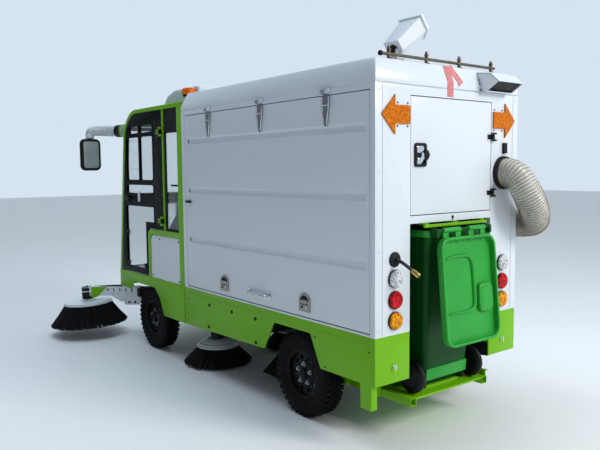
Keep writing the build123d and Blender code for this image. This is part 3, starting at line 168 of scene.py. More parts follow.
def surface(name, colour, rough, vary=0.08, patch=3.0, grain=240.0, bump=0.08, dust=0.0, dust_top=0.75,
            wear=None, stretch=None, gloss=0.06, **shader):
    """A painted, moulded or bare surface with patches of tone, uneven gloss, grain, dust and worn edges."""
    s = Surface(name, **shader)
    tone = s.ranged(s.noise(patch, 4.0, stretch), 0.3, 0.7, 0.0, 1.0)
    look = s.mix(tone, shade(colour, 1 - vary), shade(colour, 1 + vary))
    if wear:
        edge = s.node("NewGeometry").outputs["Pointiness"]
        worn = s.times(s.ranged(edge, 0.53, 0.6, 0.0, 1.0), s.ranged(s.noise(60.0), 0.45, 0.6, 0.0, 0.8))
        look = s.mix(worn, look, wear)
    level = s.ranged(s.noise(patch * 2.5, 5.0, stretch), 0.25, 0.75, rough - gloss, rough + gloss)
    if dust:
        height = s.node("SeparateXYZ", [("Vector", s.coords)]).outputs["Z"]
        low = s.ranged(height, 0.05, dust_top, dust, 0.0)
        film = s.times(low, s.ranged(s.noise(9.0, 8.0), 0.3, 0.7, 0.2, 1.0))
        look = s.mix(film, look, DUST)
        level = s.times(level, s.times(film, 0.5), "ADD")
    s.feed("Base Color", look)
    s.feed("Roughness", level)
    s.relief(s.noise(grain, 2.0, stretch), bump)
    return s.mat


WHITE = surface("white_paint_coat", (0.7, 0.735, 0.78), 0.3, vary=0.012, patch=1.2, grain=130.0, bump=0.02,
                gloss=0.02, dust=0.1, dust_top=1.0, Coat_Weight=0.5, Coat_Roughness=0.14)
LIME = surface("lime_paint_coat", (0.172, 0.47, 0.004), 0.36, vary=0.05, patch=2.0, grain=150.0, bump=0.04,
               gloss=0.03, Specular_IOR_Level=0.2, Coat_Weight=0.04, Coat_Roughness=0.2)
DARK = surface("dark_chassis_coat", (0.008, 0.009, 0.01), 0.5, vary=0.25, patch=6.0, bump=0.12, dust=0.05,
               wear=(0.04, 0.04, 0.04, 1.0), Specular_IOR_Level=0.2)
BLACK = surface("black_frame_coat", (0.0035, 0.004, 0.0048), 0.4, vary=0.2, patch=4.0, bump=0.06,
                wear=(0.03, 0.03, 0.03, 1.0), Specular_IOR_Level=0.07)
RIM = surface("wheel_rim_coat", (0.005, 0.005, 0.006), 0.4, vary=0.2, patch=9.0, bump=0.08, dust=0.02,
              dust_top=0.6, wear=(0.04, 0.04, 0.04, 1.0), Specular_IOR_Level=0.12)
TYRE = surface("tyre_rubber", (0.0045, 0.0045, 0.0055), 0.68, vary=0.25, patch=12.0, grain=320.0, bump=0.25,
               dust=0.02, dust_top=0.4, Specular_IOR_Level=0.08)
PLASTIC = surface("black_moulding", (0.006, 0.006, 0.007), 0.48, vary=0.2, patch=8.0, grain=600.0, bump=0.18,
                  Specular_IOR_Level=0.24)
RUBBER = surface("seal_rubber", (0.007, 0.007, 0.008), 0.6, vary=0.2, patch=14.0, grain=420.0, bump=0.15,
                 Specular_IOR_Level=0.25)
SHELL = surface("white_moulding", (0.74, 0.77, 0.8), 0.36, vary=0.02, patch=2.5, grain=420.0, bump=0.05,
                gloss=0.03, Coat_Weight=0.2)
BIN = surface("bin_moulding", (0.004, 0.08, 0.012), 0.36, vary=0.1, patch=5.0, grain=520.0, bump=0.12,
              Specular_IOR_Level=0.16)
BIN_LID = surface("bin_lid_moulding", (0.022, 0.335, 0.036), 0.34, vary=0.08, patch=5.0, grain=520.0,
                  bump=0.1, Specular_IOR_Level=0.3)
STEEL = surface("brushed_plate", (0.56, 0.575, 0.6), 0.34, vary=0.1, patch=30.0, grain=90.0, bump=0.1,
                stretch=(1.0, 1.0, 9.0), dust=0.2, Metallic=1.0)
CHROME = surface("bright_plating", (0.74, 0.75, 0.77), 0.13, vary=0.05, patch=9.0, grain=80.0, bump=0.03,
                 gloss=0.05, Metallic=1.0)
STRAP_METAL = surface("hinge_plate", (0.34, 0.36, 0.39), 0.36, vary=0.14, patch=25.0, grain=220.0, bump=0.06,
                      Metallic=1.0)
LATCH = surface("latch_plate", (0.36, 0.34, 0.31), 0.38, vary=0.14, patch=40.0, grain=160.0, bump=0.08,
                stretch=(8.0, 1.0, 1.0), Metallic=1.0)
ZINC = surface("zinc_plate", (0.73, 0.76, 0.8), 0.42, vary=0.12, patch=40.0, grain=140.0, bump=0.08,
               Metallic=0.35)
UNIT = surface("grey_moulding", (0.62, 0.66, 0.74), 0.42, vary=0.05, patch=5.0, grain=420.0, bump=0.08)
FILM = surface("wrapped_arm", (0.52, 0.55, 0.58), 0.34, vary=0.28, patch=34.0, grain=120.0, bump=0.5,
               gloss=0.12)
BAR = surface("bronzed_pipe", (0.16, 0.125, 0.085), 0.35, vary=0.25, patch=30.0, grain=240.0, bump=0.08,
              Metallic=0.8)
BRASS = surface("turned_brass", (0.62, 0.43, 0.15), 0.3, vary=0.12, patch=40.0, grain=300.0, bump=0.08,
                stretch=(8.0, 1.0, 1.0), Metallic=1.0)
BRISTLE = surface("black_bristle", (0.008, 0.008, 0.009), 0.6, vary=0.35, patch=90.0, grain=500.0, bump=0.2,
                  dust=0.02, dust_top=0.3, Specular_IOR_Level=0.1)
WIRE = surface("hose_wire", (0.24, 0.205, 0.155), 0.3, vary=0.12, patch=20.0, grain=200.0, bump=0.05,
               Metallic=0.6)
RED = surface("red_webbing", (0.6, 0.2, 0.2), 0.7, vary=0.25, patch=60.0, grain=300.0, bump=0.3)


def lens(name, colour, cells, glow=0.0, dark=0.45, light=1.5):
    """A lamp lens of moulded facets, light and dark side by side."""
    s = Surface(name, Roughness=0.2, Specular_IOR_Level=0.14, Emission_Color=colour + (1.0,),
                Emission_Strength=glow)
    facets = s.node("TexVoronoi", [("Vector", s.coords)], Scale=cells)
    tone = s.node("SeparateColor", [("Color", facets.outputs["Color"])]).outputs["Red"]
    edge = s.node("TexVoronoi", [("Vector", s.coords)], Scale=cells,
                  feature="DISTANCE_TO_EDGE").outputs["Distance"]
    s.feed("Base Color", s.mix(s.ranged(tone, 0.15, 0.9, 0.0, 1.0), shade(colour, dark),
                               shade(colour, light)))
    s.relief(edge, 0.5, 0.003)
    return s.mat


RED_LENS = lens("red_lens", (0.46, 0.006, 0.01), 85.0, 0.03)
AMBER_LENS = lens("amber_lens", (0.72, 0.26, 0.004), 85.0, 0.05)
CLEAR_LENS = lens("clear_lens", (0.56, 0.57, 0.58), 85.0, dark=0.6, light=1.4)
# The arrow signs glow faintly (strength 0.02): a painted glow, as the signs are no lamp
ORANGE = lens("orange_sign", (0.56, 0.14, 0.0005), 130.0, 0.02, 0.62, 1.4)
BEACON_LENS = lens("beacon_lens", (0.74, 0.125, 0.002), 60.0, 0.06, 0.6, 1.5)


def glass(name, tint, rough=0.02):
    """Tinted sheet glass with faint smears."""
    s = Surface(name, Base_Color=tint + (1.0,), Transmission_Weight=1.0, IOR=1.45)
    s.feed("Roughness", s.ranged(s.noise(5.0, 6.0), 0.35, 0.75, rough, rough + 0.09))
    s.relief(s.noise(3.0, 2.0), 0.02)
    return s.mat


GLASS = glass("clear_glass", (0.9, 0.93, 0.93))
MIRROR_GLASS = surface("mirror_face", (0.62, 0.66, 0.66), 0.16, vary=0.1, patch=9.0, grain=60.0, bump=0.02,
                       gloss=0.04, Metallic=0.5)


def cloth(name, colour):
    """Woven seat cover."""
    s = Surface(name, Roughness=0.85, Sheen_Weight=0.35, Sheen_Roughness=0.4)
    warp = s.node("TexWave", [("Vector", s.coords)], Scale=150.0, bands_direction="Y").outputs["Fac"]
    weft = s.node("TexWave", [("Vector", s.coords)], Scale=150.0, bands_direction="DIAGONAL").outputs["Fac"]
    weave = s.times(warp, weft)
    tone = s.times(weave, s.ranged(s.noise(14.0), 0.3, 0.7, 0.6, 1.0))
    s.feed("Base Color", s.mix(tone, shade(colour, 0.6), shade(colour, 1.8)))
    s.relief(weave, 0.4, 0.001)
    return s.mat


CLOTH = cloth("seat_weave", (0.02, 0.021, 0.024))


def ridged(name, colour, pitch):
    """Ribbed rubber: ridges follow one another along the length, with a painted highlight on each crest and
    painted shade in each groove.
    """
    s = Surface(name, Roughness=0.42, Specular_IOR_Level=0.4)
    wave = s.node("TexWave", [("Vector", s.coords)], Scale=0.314 / pitch, Distortion=0.4,
                  bands_direction="X").outputs["Fac"]
    # Base colour follows the ridges: painted highlights on the crests, painted shade between them
    s.feed("Base Color", s.mix(wave, shade(colour, 0.4), shade(colour, 3.0)))
    s.relief(wave, 1.0, 0.004)
    return s.mat


RIBBED = ridged("washer_hose_rubber", (0.012, 0.012, 0.013), 0.011)


def hose_wall():
    """Milky wall of the suction hose."""
    s = Surface("hose_wall", Subsurface_Weight=0.15, Subsurface_Scale=0.02, Transmission_Weight=0.3,
                Subsurface_Radius=(0.02, 0.016, 0.01))
    tone = s.ranged(s.noise(7.0, 5.0), 0.3, 0.7, 0.0, 1.0)
    s.feed("Base Color", s.mix(tone, (0.72, 0.68, 0.6, 1.0), (0.88, 0.85, 0.78, 1.0)))
    s.feed("Roughness", s.ranged(s.noise(18.0), 0.3, 0.7, 0.22, 0.4))
    s.relief(s.noise(60.0), 0.1)
    return s.mat


HOSE = hose_wall()
FORE, AFT, LEFT, RIGHT, UP = (1, 0, 0), (-1, 0, 0), (0, 1, 0), (0, -1, 0), (0, 0, 1)


# Shapes, added to an open mesh in metres ahead of the rear face
def meshes(count):
    return [bmesh.new() for _ in range(count)]


def box(bm, x0, x1, y0, y1, z0, z1, turn=None):
    """A block between two corners; turn is a matrix applied about its middle."""
    middle = Vector(((x0 + x1) / 2, (y0 + y1) / 2, (z0 + z1) / 2))
    size = Matrix.Diagonal((abs(x1 - x0), abs(y1 - y0), abs(z1 - z0), 1.0))
    bmesh.ops.create_cube(bm, size=1.0, matrix=Matrix.Translation(middle) @ (turn or Matrix()) @ size)


def circle(count):
    """Angles of this many steps round a full turn."""
    return [2 * math.pi * k / count for k in range(count)]


def frame_along(axis):
    """A rotation that takes Z to this axis."""
    return Vector(axis).normalized().to_track_quat("Z", "Y").to_matrix().to_4x4()


def rod(bm, start, end, r, r_end=None, seg=24):
    """A round bar or cone from start to end."""
    a, b = Vector(start), Vector(end)
    bmesh.ops.create_cone(bm, cap_ends=True, segments=seg, radius1=r, radius2=r if r_end is None else r_end,
                          depth=(b - a).length, matrix=Matrix.Translation((a + b) / 2) @ frame_along(b - a))


def lathe(bm, origin, axis, profile, seg=36):
    """A turned shape: profile gives distance along the axis and radius, from one end to the other."""
    place = Matrix.Translation(Vector(origin)) @ frame_along(axis)
    rings = []
    for along, r in profile:
        if r < 1e-6:
            rings.append([bm.verts.new(place @ Vector((0, 0, along)))])
        else:
            rings.append([bm.verts.new(place @ Vector((r * math.cos(t), r * math.sin(t), along)))
                          for t in circle(seg)])
    for one, two in zip(rings, rings[1:]):
        for k in range(seg):
            ring = [one[k % len(one)], one[(k + 1) % len(one)], two[(k + 1) % len(two)], two[k % len(two)]]
            corners = list(dict.fromkeys(ring))
            if len(corners) > 2:
                bm.faces.new(corners)


def join(bm, rings):
    """A wall over rings of points, each joined to the next."""
    for one, two in zip(rings, rings[1:]):
        for n in range(len(one)):
            after = (n + 1) % len(one)
            bm.faces.new((one[n], one[after], two[after], two[n]))


def sweep(bm, points, r, seg=14, caps=True):
    """A tube along points; r is a number or one number per point."""
    pts = [Vector(p) for p in points]
    radii = r if isinstance(r, (list, tuple)) else [r] * len(pts)
    rings = []
    side = None
    for k, p in enumerate(pts):
        ahead = (pts[min(k + 1, len(pts) - 1)] - pts[max(k - 1, 0)]).normalized()
        if side is None:
            side = ahead.orthogonal()
        side = (side - ahead * side.dot(ahead)).normalized()
        other = ahead.cross(side)
        rings.append([bm.verts.new(p + radii[k] * (side * math.cos(t) + other * math.sin(t)))
                      for t in circle(seg)])
    join(bm, rings)
    if caps:
        bm.faces.new(rings[0][::-1])
        bm.faces.new(rings[-1])


def curve_mesh(curve):
    """The mesh of a curve, which is then removed."""
    holder = bpy.data.objects.new("drawn", curve)
    scene.collection.objects.link(holder)
    mesh = bpy.data.meshes.new_from_object(holder)
    bpy.data.objects.remove(holder)
    bpy.data.curves.remove(curve)
    return mesh


def new_curve(name, points, order=3, steps=10):
    """A spline through control points."""
    curve = bpy.data.curves.new(name, "CURVE")
    curve.dimensions = "3D"
    curve.resolution_u = steps
    spline = curve.splines.new("NURBS")
    spline.points.add(len(points) - 1)
    for point, place in zip(spline.points, points):
        point.co = (*place, 1.0)
    spline.order_u = order
    spline.use_endpoint_u = True
    return curve


def smooth_path(points, order=3, steps=10):
    """Points read along a spline."""
    mesh = curve_mesh(new_curve("path", points, order, steps))
    found = [v.co.copy() for v in mesh.vertices]
    bpy.data.meshes.remove(mesh)
    return found


def plate(bm, loops, origin, u, v, depth, bevel=0.0):
    """A flat plate in the plane of u and v: the first loop is its outline and the others are holes."""
    curve = bpy.data.curves.new("plate", "CURVE")
    curve.dimensions = "2D"
    curve.fill_mode = "BOTH"
    curve.extrude = depth / 2 - bevel
    curve.bevel_depth = bevel
    curve.bevel_resolution = 1
    for loop in loops:
        spline = curve.splines.new("POLY")
        spline.points.add(len(loop) - 1)
        for point, (a, b) in zip(spline.points, loop):
            point.co = (a, b, 0.0, 1.0)
        spline.use_cyclic_u = True
    mesh = curve_mesh(curve)
    u, v = Vector(u).normalized(), Vector(v).normalized()
    mesh.transform(Matrix.Translation(Vector(origin)) @ Matrix((u, v, u.cross(v))).transposed().to_4x4())
    bm.from_mesh(mesh)
    bpy.data.meshes.remove(mesh)


def rounded(a0, a1, b0, b1, r, steps=5):
    """Outline of a rectangle with rounded corners."""
    out = []
    for ca, cb, start in ((a1 - r, b1 - r, 0), (a0 + r, b1 - r, 90), (a0 + r, b0 + r, 180),
                          (a1 - r, b0 + r, 270)):
        for k in range(steps + 1):
            t = math.radians(start + 90 * k / steps)
            out.append((ca + r * math.cos(t), cb + r * math.sin(t)))
    return out


def arc(a, b, ra, rb, steps, turn=math.pi):
    """Part of a turn of an ellipse about a middle."""
    return [(a + ra * math.cos(t), b + rb * math.sin(t)) for t in (turn * k / steps
            for k in range(steps + 1))]


def rounded_at(a, b, half_a, half_b, r, steps=5):
    """The same about a middle."""
    return rounded(a - half_a, a + half_a, b - half_b, b + half_b, r, steps)


def ring(a, b, r, steps=16):
    """Outline of a circle."""
    return [(a + r * math.cos(t), b + r * math.sin(t)) for t in circle(steps)]


def screw(bm, place, normal, r=0.006, h=0.004):
    """A hexagon head on its washer."""
    p, n = Vector(place), Vector(normal).normalized()
    rod(bm, p - n * 0.001, p + n * h * 0.35, r * 1.55, seg=18)
    rod(bm, p, p + n * h * 1.2, r, r * 0.92, seg=6)


def dome(bm, place, normal, r=0.006, h=0.003):
    """A round head."""
    lathe(bm, Vector(place) - Vector(normal).normalized() * 0.001, normal,
          ((0, r), (h * 0.4 + 0.001, r), (h * 0.85 + 0.001, r * 0.7), (h + 0.001, r * 0.25),
           (h * 0.8 + 0.001, 0)), 16)


def mirrored(bm):
    """Adds the copy on the machine's other side."""
    made = bmesh.ops.duplicate(bm, geom=bm.verts[:] + bm.edges[:] + bm.faces[:])["geom"]
    bmesh.ops.scale(bm, vec=(1, -1, 1), verts=[g for g in made if isinstance(g, bmesh.types.BMVert)])
    bmesh.ops.reverse_faces(bm, faces=[g for g in made if isinstance(g, bmesh.types.BMFace)])


def soften(bm, width, segments=2, angle=30.0):
    """Rounds the sharp edges."""
    limit = math.radians(angle)
    edges = [e for e in bm.edges if len(e.link_faces) == 2 and e.calc_face_angle(0.0) > limit]
    bmesh.ops.bevel(bm, geom=edges, offset=width, segments=segments, affect="EDGES", profile=0.6,
                    clamp_overlap=True)


def finish_mesh(obj, angle=38.0):
    for face in obj.data.polygons:
        face.use_smooth = True
    obj.data.set_sharp_from_angle(angle=math.radians(angle))


def piece(name, bm, material, body="chassis", replaces=(), bevel=0.0, angle=38.0, recalc=True, ahead=REAR):
    """Turns a finished mesh, measured from the rear face, into a piece of the object, riding on a body."""
    bmesh.ops.translate(bm, verts=bm.verts[:], vec=(ahead, 0, 0))
    if recalc:
        bmesh.ops.recalc_face_normals(bm, faces=bm.faces[:])
    if bevel:
        soften(bm, bevel)
    mesh = bpy.data.meshes.new(name)
    bm.to_mesh(mesh)
    bm.free()
    obj = bpy.data.objects.new(name, mesh)
    scene.collection.objects.link(obj)
    mesh.materials.append(material)
    finish_mesh(obj, angle)
    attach(obj, body)
    if replaces:
        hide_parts(*replaces)
    return obj


def softened(node, material, width=0.003, segments=2):
    """The CAD solid with its edges rounded, in its place."""
    source = NODES[node]
    bm = bmesh.new()
    bm.from_mesh(source.data)
    bmesh.ops.remove_doubles(bm, verts=bm.verts[:], dist=1e-5)
    bmesh.ops.dissolve_limit(bm, angle_limit=math.radians(1.0), verts=bm.verts[:], edges=bm.edges[:])
    soften(bm, width, segments)
    piece(node + "_panel", bm, material, source["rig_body"], (node,), recalc=False, ahead=0.0)


def coat(material, *nodes):
    """Gives CAD nodes that stay their material."""
    for node in nodes:
        mesh = NODES[node].data
        mesh.materials.clear()
        mesh.materials.append(material)


# Camera, as solved from the photograph, with the light and the floor
CAMERA_AT = (REAR - 2.6971, 3.3252, 1.6602)
CAMERA_TURN = (-37.958, -4.794, 0.5225)  # yaw, pitch and roll in degrees
CAMERA_LENS, CAMERA_SENSOR = 39.775, 36.0  # in millimetres
SKY = (0.82, 0.94, 1.07, 1.0)
SKY_FADE = {"From Min": -0.1, "From Max": 0.5, "To Min": 0.82, "To Max": 0.17}  # dimmer towards the left
LIGHTS = (("key", (-9.0, -2.6, 6.0), 3.0, 515.0, (1.0, 0.99, 0.94)),
          ("fill", (-2.0, 8.0, 4.5), 5.0, 5.0, (0.74, 0.94, 1.16)),
          ("top", (0.5, 1.4, 8.0), 4.0, 178.0, (0.8, 0.95, 1.1)))  # name, place, size, power, tint
LIT_POINT = Vector((0.0, 0.0, 1.0))


def make_camera():
    yaw, pitch, roll = (math.radians(v) for v in CAMERA_TURN)
    ahead = Vector((math.cos(yaw) * math.cos(pitch), math.sin(yaw) * math.cos(pitch), math.sin(pitch)))
    right = Vector((math.sin(yaw), -math.cos(yaw), 0))
    down = ahead.cross(right)
    across = math.cos(roll) * right + math.sin(roll) * down
    fall = -math.sin(roll) * right + math.cos(roll) * down
    data = bpy.data.cameras.new("camera")
    data.sensor_fit = "HORIZONTAL"
    data.sensor_width = CAMERA_SENSOR
    data.lens = CAMERA_LENS
    cam = bpy.data.objects.new("camera", data)
    turned = Matrix((across, -fall, -ahead)).transposed().to_4x4()
    cam.matrix_world = Matrix.Translation(CAMERA_AT) @ turned
    scene.collection.objects.link(cam)
    scene.camera = cam


def make_stage():
    bm = bmesh.new()
    bmesh.ops.create_grid(bm, x_segments=1, y_segments=1, size=40.0)
    mesh = bpy.data.meshes.new("floor")
    bm.to_mesh(mesh)
    bm.free()
    floor = bpy.data.objects.new("floor", mesh)
    mesh.materials.append(surface("pale_floor", (0.86, 0.86, 0.86), 0.6, vary=0.01, patch=0.6, grain=20.0,
                                  bump=0.01))
    scene.collection.objects.link(floor)
    floor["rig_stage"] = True
    world = bpy.data.worlds.new("studio")
    world.use_nodes = True
    tree = world.node_tree
    back = tree.nodes["Background"]
    back.inputs["Color"].default_value = SKY
    across = tree.nodes.new("ShaderNodeSeparateXYZ")
    level = tree.nodes.new("ShaderNodeMapRange")
    for key, value in SKY_FADE.items():
        level.inputs[key].default_value = value
    tree.links.new(tree.nodes.new("ShaderNodeTexCoord").outputs["Generated"], across.inputs["Vector"])
    tree.links.new(across.outputs["Y"], level.inputs["Value"])
    tree.links.new(level.outputs["Result"], back.inputs["Strength"])
    scene.world = world
    scene.view_settings.view_transform = "Standard"
    for name, place, size, power, tint in LIGHTS:
        light = bpy.data.lights.new(name, "AREA")
        light.size = size
        light.energy = power
        light.color = tint
        obj = bpy.data.objects.new(name, light)
        obj.location = place
        obj.rotation_euler = (LIT_POINT - Vector(place)).to_track_quat("-Z", "Y").to_euler()
        scene.collection.objects.link(obj)


make_camera()
make_stage()

# Body panels keep the solids' form, with rounded edges
# The bin bay takes the near-black chassis coat: painted shade for the inside of the bay
for node, material, width in (("rear_frame", WHITE, 0.003), ("roof_lid", WHITE, 0.007),
                              ("body_rails", WHITE, 0.002), ("bulkhead", WHITE, 0.003),
                              ("bin_bay", DARK, 0.002), ("skirts", LIME, 0.0025),
                              ("bin_platform", LIME, 0.0025), ("cab_base", LIME, 0.003),
                              ("cab_roof", LIME, 0.006), ("cab_side_frames", LIME, 0.004),
                              ("cab_front", LIME, 0.012), ("chassis_frame", DARK, 0.003),
                              ("battery_pack", PLASTIC, 0.012)):
    softened(node, material, width)


# Side doors: swaged skin, strap hinges, paddle latches and a pull handle
SWAGE_ROWS = (1.895, 1.495, 1.095)
SWAGE_HALF = 0.03
SWAGE_DEPTH = 0.012
SLOPE = 0.014
DOOR_LOW = span("side_door_left", Z)[0]
DOOR_FRONT = span("side_door_left", X, REAR)[1]
DOOR_TOP = 2.105
HINGE_Y, HINGE_Z = 0.698, 2.128
STRAP = [(0.02, HINGE_Z - 0.01), (0.02, 2.102), (0.034, 2.1), (0.034, 2.05), (0.03, 2.03), (0.024, 1.99),
         (0.016, 1.94), (0.01, 1.921)]  # one half of a hinge strap's outline, from the top
LATCHES, LATCH_Z = (1.638, 0.648), 0.797
HANDLE_ENDS, HANDLE_Z = (1.055, 1.295), 0.777


def skin(bm, way, x_lines, z_lines, hollow, back):
    """A pressed sheet at the side: a grid pushed in where hollow says, closed at its back."""
    rows = [[bm.verts.new((x, way * (HALF - SWAGE_DEPTH * hollow(x, z)), z)) for x in x_lines]
            for z in z_lines]
    for one, two in zip(rows, rows[1:]):
        for k in range(len(x_lines) - 1):
            bm.faces.new((one[k], one[k + 1], two[k + 1], two[k]))
    rim = [e for e in bm.edges if e.is_boundary]
    made = bmesh.ops.extrude_edge_only(bm, edges=rim)["geom"]
    for vert in made:
        if isinstance(vert, bmesh.types.BMVert):
            vert.co.y = way * back
    bmesh.ops.edgeloop_fill(bm, edges=[e for e in bm.edges if e.is_boundary])


def side_door(way, name, straps):
    body, back = name + "_body", span(name, X, REAR)[0]
    x_in, x_out = back + 0.03, DOOR_FRONT - 0.065
    z_lines = [DOOR_LOW]
    for middle in reversed(SWAGE_ROWS):
        z_lines += [middle - SWAGE_HALF, middle - SWAGE_HALF + SLOPE, middle + SWAGE_HALF - SLOPE,
                    middle + SWAGE_HALF]
    z_lines.append(DOOR_TOP)

    def hollow(x, z):
        inside = x_in + SLOPE / 2 < x < x_out - SLOPE / 2
        return float(inside and any(abs(z - m) < SWAGE_HALF - SLOPE / 2 for m in SWAGE_ROWS))

    bm = bmesh.new()
    skin(bm, way, (back, x_in, x_in + SLOPE, x_out - SLOPE, x_out, DOOR_FRONT), z_lines, hollow, HALF - 0.03)
    piece(name + "_skin", bm, WHITE, body, (name,), bevel=0.0035)

    def on_door(bm, loops, x, z, out, depth, bevel=0.0):
        plate(bm, loops, (x, way * (HALF + out), z), FORE, UP, depth, bevel)

    def spot(x, out, z):
        return x, way * (HALF + out), z

    bm, heads, ribs = meshes(3)
    for x in straps:
        outline = [(-a, b) for a, b in STRAP[:1]] + STRAP + [(-a, b) for a, b in STRAP[:0:-1]]
        on_door(bm, [outline], x, 0, 0.004, 0.008, 0.0015)
        for edge in (-0.029, 0.029):
            sweep(ribs, [spot(x + edge, 0.008, 2.098), spot(x + edge, 0.009, 2.045),
                         spot(x + edge * 0.75, 0.0088, 1.995), spot(x + edge * 0.4, 0.008, 1.93)],
                  [0.0045, 0.005, 0.0045, 0.0035], 8)
        sweep(ribs, [spot(x - 0.028, 0.008, 2.048), spot(x + 0.028, 0.008, 2.048)], 0.0038, 8)
        rod(bm, (x - 0.021, way * HINGE_Y, HINGE_Z), (x + 0.021, way * HINGE_Y, HINGE_Z), 0.0105)
        box(bm, x - 0.02, x + 0.02, way * HALF, way * HINGE_Y, HINGE_Z - 0.01, HINGE_Z - 0.003)
        for z in (2.085, 2.02, 1.955):
            dome(bm, spot(x, 0.0065, z), (0, way, 0), 0.005, 0.003)
        for end in (-1, 1):
            tip = x + end * 0.049
            box(heads, x + end * 0.022, tip, way * (HALF - 0.001), way * (HINGE_Y + 0.0125), HINGE_Z - 0.0125,
                HINGE_Z + 0.0145)
            dome(heads, (tip, way * HINGE_Y, HINGE_Z), (end, 0, 0), 0.007, 0.004)
    piece(name + "_straps", bm, STRAP_METAL, body, bevel=0.0012)
    piece(name + "_strap_ribs", ribs, CHROME, body)
    piece(name + "_hinge_heads", heads, ZINC, bevel=0.003)

    bm, latch, dark = meshes(3)
    for x in LATCHES:
        arch = arc(0, 0.006, 0.056, 0.055, 14)
        dish = arc(0, 0.008, 0.046, 0.04, 12)
        on_door(latch, [[(-0.056, -0.06), (0.056, -0.06)] + arch, dish], x, LATCH_Z, 0.004, 0.008, 0.002)
        on_door(dark, [[(a * 1.05, b - 0.001) for a, b in dish]], x, LATCH_Z, 0.0022, 0.003)
        on_door(latch, [rounded(-0.046, 0.046, -0.052, -0.006, 0.01)], x, LATCH_Z, 0.0085, 0.003, 0.001)
        on_door(latch, [rounded(-0.03, 0.03, -0.01, 0.014, 0.008)], x, LATCH_Z, 0.0065, 0.005, 0.0015)
        on_door(dark, [rounded(-0.04, 0.04, -0.016, -0.01, 0.003)], x, LATCH_Z, 0.0102, 0.001)
        rod(dark, spot(x + 0.022, 0, LATCH_Z - 0.032), spot(x + 0.022, 0.0125, LATCH_Z - 0.032), 0.009,
            seg=18)
        rod(bm, spot(x - 0.024, 0, LATCH_Z - 0.032), spot(x - 0.024, 0.0118, LATCH_Z - 0.032), 0.006, seg=18)
    for x in HANDLE_ENDS:
        rod(bm, spot(x, 0, HANDLE_Z), spot(x, 0.006, HANDLE_Z), 0.026)
        rod(bm, spot(x, 0.006, HANDLE_Z), spot(x, 0.034, HANDLE_Z), 0.015, 0.013, seg=20)
    near, far = HANDLE_ENDS
    grip = ((near, 0), (near, 0.03), (near + 0.02, 0.035), (far - 0.02, 0.035), (far, 0.03), (far, 0))
    sweep(bm, smooth_path([spot(x, out, HANDLE_Z) for x, out in grip]), 0.0115)
    piece(name + "_latches", latch, LATCH, body)
    piece(name + "_handle", bm, CHROME, body)
    for z in SWAGE_ROWS:
        on_door(dark, [rounded(-0.006, 0.006, -0.016, 0.016, 0.005)], 2.165, z, 0.0004, 0.0016)
    piece(name + "_recesses", dark, PLASTIC, body)


side_door(1, "side_door_left", (1.842, 1.133, 0.424))
side_door(-1, "side_door_right", (1.842, 1.133, 0.62))

# Rear door: flush panel, paddle latch and two black hinges
REAR_HINGES = (1.862, 1.495)
REAR_DOOR_HALF = span("rear_door", Y)[1]


def rear_latch(bm, loops, x, depth, bevel=0.0):
    plate(bm, loops, (x, 0.3, 1.74), RIGHT, UP, depth, bevel)


bm = bmesh.new()
box(bm, 0, span("rear_door", X, REAR)[1], -REAR_DOOR_HALF, REAR_DOOR_HALF, *span("rear_door", Z))
piece("rear_door_panel", bm, WHITE, "rear_door_body", ("rear_door",), bevel=0.005)
bm = bmesh.new()
rear_latch(bm, [rounded(-0.056, 0.04, -0.068, 0.068, 0.014), rounded(-0.046, 0.03, -0.058, 0.058, 0.01)],
           -0.006, 0.014, 0.003)
rear_latch(bm, [[(0.034, -0.038), (0.058, -0.018), (0.066, 0.0), (0.058, 0.018), (0.034, 0.038)]], -0.006,
           0.016, 0.003)
rear_latch(bm, [rounded(-0.05, 0.034, -0.062, 0.062, 0.012)], -0.001, 0.002)
for z in REAR_HINGES:
    box(bm, -0.005, 0, -0.381, -0.348, z - 0.0148, z + 0.0148)
    rod(bm, (-0.012, -0.388, z - 0.015), (-0.012, -0.388, z + 0.015), 0.008)
    box(bm, -0.014, -0.001, -0.386, -0.378, z - 0.0145, z + 0.0145)
    for dz in (-0.008, 0.008):
        dome(bm, (-0.005, -0.36, z + dz), AFT, 0.004, 0.003)
piece("rear_door_fittings", bm, PLASTIC, "rear_door_body")
bm = bmesh.new()
rear_latch(bm, [[(-0.04, -0.05), (-0.01, -0.054), (0.026, -0.02), (0.016, 0.006), (-0.012, -0.022),
                 (-0.03, -0.02)]], -0.005, 0.007, 0.002)
rear_latch(bm, [[(-0.04, 0.018), (-0.014, 0.012), (0.02, 0.026), (0.026, 0.05), (-0.006, 0.054),
                 (-0.038, 0.048)]], -0.004, 0.005, 0.002)
rod(bm, (-0.014, 0.296, 1.742), (0, 0.296, 1.742), 0.012, 0.01)
piece("rear_door_paddle", bm, CHROME, "rear_door_body")

# Fittings of the rear face: hinge leaves, keyhole, screws and small box
bm = bmesh.new()
for z in REAR_HINGES:
    for low in (z + 0.017, z - 0.027):
        box(bm, -0.021, -0.006, -0.421, -0.3825, low, low + 0.0105)
        box(bm, -0.021, 0, -0.4205, -0.392, low, low + 0.0105)
    box(bm, -0.006, 0, -0.4205, -0.392, z - 0.027, z + 0.0275)
box(bm, -0.016, 0, -0.545, -0.509, 1.755, 1.825)
rod(bm, (-0.004, 0, 1.354), (0.002, 0, 1.354), 0.01)
box(bm, -0.0035, 0.002, -0.0035, 0.0035, 1.335, 1.354)
for way in (1, -1):
    for y in (0.415, 0.5):
        for z in (2.04, 1.905):
            dome(bm, (0, way * y, z), AFT, 0.006, 0.004)
piece("rear_face_fittings", bm, PLASTIC, bevel=0.001)

